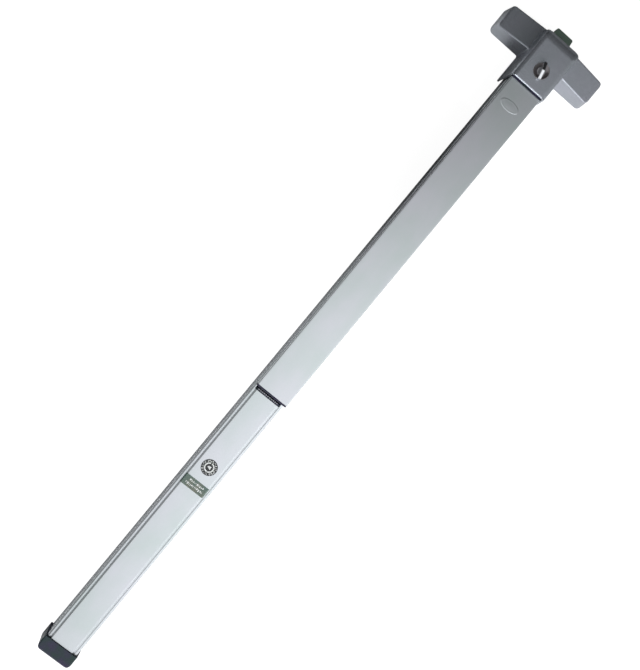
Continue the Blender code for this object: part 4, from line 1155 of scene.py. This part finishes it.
def make_screw(name, node, axis_matrix, head, shank, length):
    """A pan-head screw with a cross recess; the matrix puts its seat at the origin, head up Z."""
    height = head * 0.55
    profile = [
        (0, height),
        (head * 0.45, height * 0.97),
        (head * 0.8, height * 0.78),
        (head * 0.97, height * 0.42),
        (head, height * 0.12),
        (head * 0.97, 0),
        (shank, 0),
        (shank, -length),
        (0, -length),
    ]
    screw = turned(name, profile, Matrix.Identity(4), 32)
    arm, thick = head * 0.55, head * 0.13
    above, deep = height * 1.2, height * 0.25
    outline = [(-arm, above), (arm, above), (thick, deep), (-thick, deep)]
    for number, turn in enumerate((0, math.pi / 2), 1):
        wedge = prism(f"recess_{number}", outline, -thick, thick, "Y")
        wedge.data.transform(Matrix.Rotation(turn, 4, "Z"))
        combine(screw, "DIFFERENCE", wedge)
    screw.data.transform(axis_matrix)
    show(screw, "zinc_steel", "fixed_frame", [node])


def make_outer_screws():
    """The screws that show: one in the end cap, which faces -X, and two in the wings, facing +X."""
    place = Matrix.Translation((x_at(CAP_SEAT - GAP), 0, CAP_SCREW_HEIGHT))
    seat = place @ Matrix.Rotation(-math.pi / 2, 4, "Y")
    make_screw("cap_screw", "end_cap_screw", seat, *CAP_SCREW)
    for number, side in enumerate((-1, 1), 1):
        x = x_at(CASE_SEAT_DEPTH + GAP)
        place = Matrix.Translation((x, side * CASE_SCREW_Y, CASE_SCREW_Z))
        seat = place @ Matrix.Rotation(math.pi / 2, 4, "Y")
        make_screw(f"wing_screw_{number}", f"case_screw_{number}", seat, *CASE_SCREW)


# ---------------------------------------------------------------- studio


def make_floor(name, level, albedo, glow, dark=0):
    """A sheet of pale paper whose glow keeps it even.

    With dark it is flat, with painted shade in patches beside the bar. Without, it glows white, and
    its far parts curve up into a backdrop.
    """
    work = bmesh.new()
    steps = [FLOOR_HALF * (2 * number / FLOOR_CELLS - 1) for number in range(FLOOR_CELLS + 1)]
    rows = []
    for y in steps:
        past = [0 if dark else max(0, math.hypot(x, y) - FLOOR_FLAT) for x in steps]
        rows.append([work.verts.new((x, y, level + 0.5 * r**2)) for x, r in zip(steps, past)])
    for lower, upper in zip(rows, rows[1:]):
        for column in range(FLOOR_CELLS):
            after = column + 1
            work.faces.new((lower[column], lower[after], upper[after], upper[column]))
    floor = new_object(name, work)
    graph = Graph(name + "_paper")
    grey = (albedo, albedo, albedo)
    fibre = graph.spread(graph.noise((400, 400, 400), 4.0), 0.0, 1.0)
    paper = graph.mix(fibre, shade_of(grey, 0.97), rgba(grey))
    if dark:
        paper = graph.mix(beside_the_bar(graph), paper, shade_of(grey, dark))
        graph.link(paper, "Emission Color")
    else:
        graph.shader.inputs["Emission Color"].default_value = (1, 1, 1, 1)
    graph.link(paper, "Base Color")
    graph.shader.inputs["Roughness"].default_value = 0.9
    graph.shader.inputs["Emission Strength"].default_value = glow
    floor.data.materials.append(graph.material)
    floor.visible_shadow = False
    return floor


def beside_the_bar(graph):
    """The painted shade on the ground round the bar: the deepest of the patches."""
    split = graph.add("SeparateXYZ", {"Vector": graph.place()})
    deepest = 0.0
    for patch in SHADE_FADES:
        total = 1.0
        for axis, start, end, first, last in patch:
            inputs = {"Value": split.outputs[axis], "From Min": start, "From Max": end}
            inputs.update({"To Min": first, "To Max": last})
            fade = graph.add("MapRange", inputs, interpolation_type="SMOOTHSTEP")
            total = graph.product(total, fade.outputs["Result"])
        deepest = graph.add("Math", {0: deepest, 1: total}, operation="MAXIMUM").outputs[0]
    return deepest


def make_floors():
    """The ground that the camera sees, and the one that lights the object from below."""
    seen = make_floor("floor", *SEEN_FLOOR)
    seen.visible_glossy = False
    seen.visible_diffuse = False
    bounce = make_floor("floor_bounce", *BOUNCE_FLOOR, BOUNCE_DARK)
    bounce.visible_camera = False


def make_world():
    """A soft room: the product of fades, bright overhead and darker towards the head and below."""
    world = bpy.data.worlds.new("studio")
    bpy.context.scene.world = world
    world.use_nodes = True
    tree = world.node_tree
    place = tree.nodes.new("ShaderNodeTexCoord")
    split = tree.nodes.new("ShaderNodeSeparateXYZ")
    tree.links.new(place.outputs["Generated"], split.inputs["Vector"])
    background = tree.nodes["Background"]
    background.inputs["Color"].default_value = WORLD_COLOUR
    product = None
    for axis, *limits in WORLD_FADES:
        fade = tree.nodes.new("ShaderNodeMapRange")
        fade.interpolation_type = "SMOOTHSTEP"
        for key, value in zip(("From Min", "From Max", "To Min", "To Max"), limits):
            fade.inputs[key].default_value = value
        tree.links.new(split.outputs[axis], fade.inputs["Value"])
        total = fade.outputs["Result"]
        if product is not None:
            node = tree.nodes.new("ShaderNodeMath")
            node.operation = "MULTIPLY"
            tree.links.new(product, node.inputs[0])
            tree.links.new(total, node.inputs[1])
            total = node.outputs[0]
        product = total
    tree.links.new(product, background.inputs["Strength"])


def make_light(name, location, target, size, power):
    light = bpy.data.lights.new(name, "AREA")
    light.shape = "RECTANGLE"
    light.size, light.size_y = size
    light.energy = power
    obj = bpy.data.objects.new(name, light)
    bpy.context.scene.collection.objects.link(obj)
    obj.location = location
    aim = Vector(target) - Vector(location)
    obj.rotation_euler = aim.to_track_quat("-Z", "Y").to_euler()
    return obj


def make_lights():
    """A wide key that lights the ground and isn't mirrored, and a low rim for the head's edges."""
    key = make_light("key", (-1.0, -2.0, 1.3), target=(0.1, 0, 0), size=(2.4, 2.4), power=60)
    key.visible_glossy = False
    make_light("rim", (-2.4, -0.48, 1.0), target=(0.48, 0, 0.05), size=(1.1, 0.7), power=15)


def make_camera():
    camera = bpy.data.cameras.new("camera")
    camera.lens = CAMERA_LENS
    camera.sensor_width = 36
    camera.clip_start, camera.clip_end = 0.05, 50
    obj = bpy.data.objects.new("camera", camera)
    bpy.context.scene.collection.objects.link(obj)
    pose = Matrix.Translation(CAMERA_PLACE)
    for axis, degrees in CAMERA_TURNS:
        pose = pose @ Matrix.Rotation(math.radians(degrees), 4, axis)
    obj.matrix_world = pose
    bpy.context.scene.camera = obj


dress_cad_nodes()
make_rail()
make_insert()
make_insert_plug()
make_end_cap()
make_seal()
make_label()
make_emblem()
make_push_pad()
make_head_case()
make_collar()
make_thumbturn()
make_latch()
make_springs()
make_outer_screws()
make_floors()
make_world()
make_lights()
make_camera()
bpy.context.scene.view_settings.view_transform = "Standard"
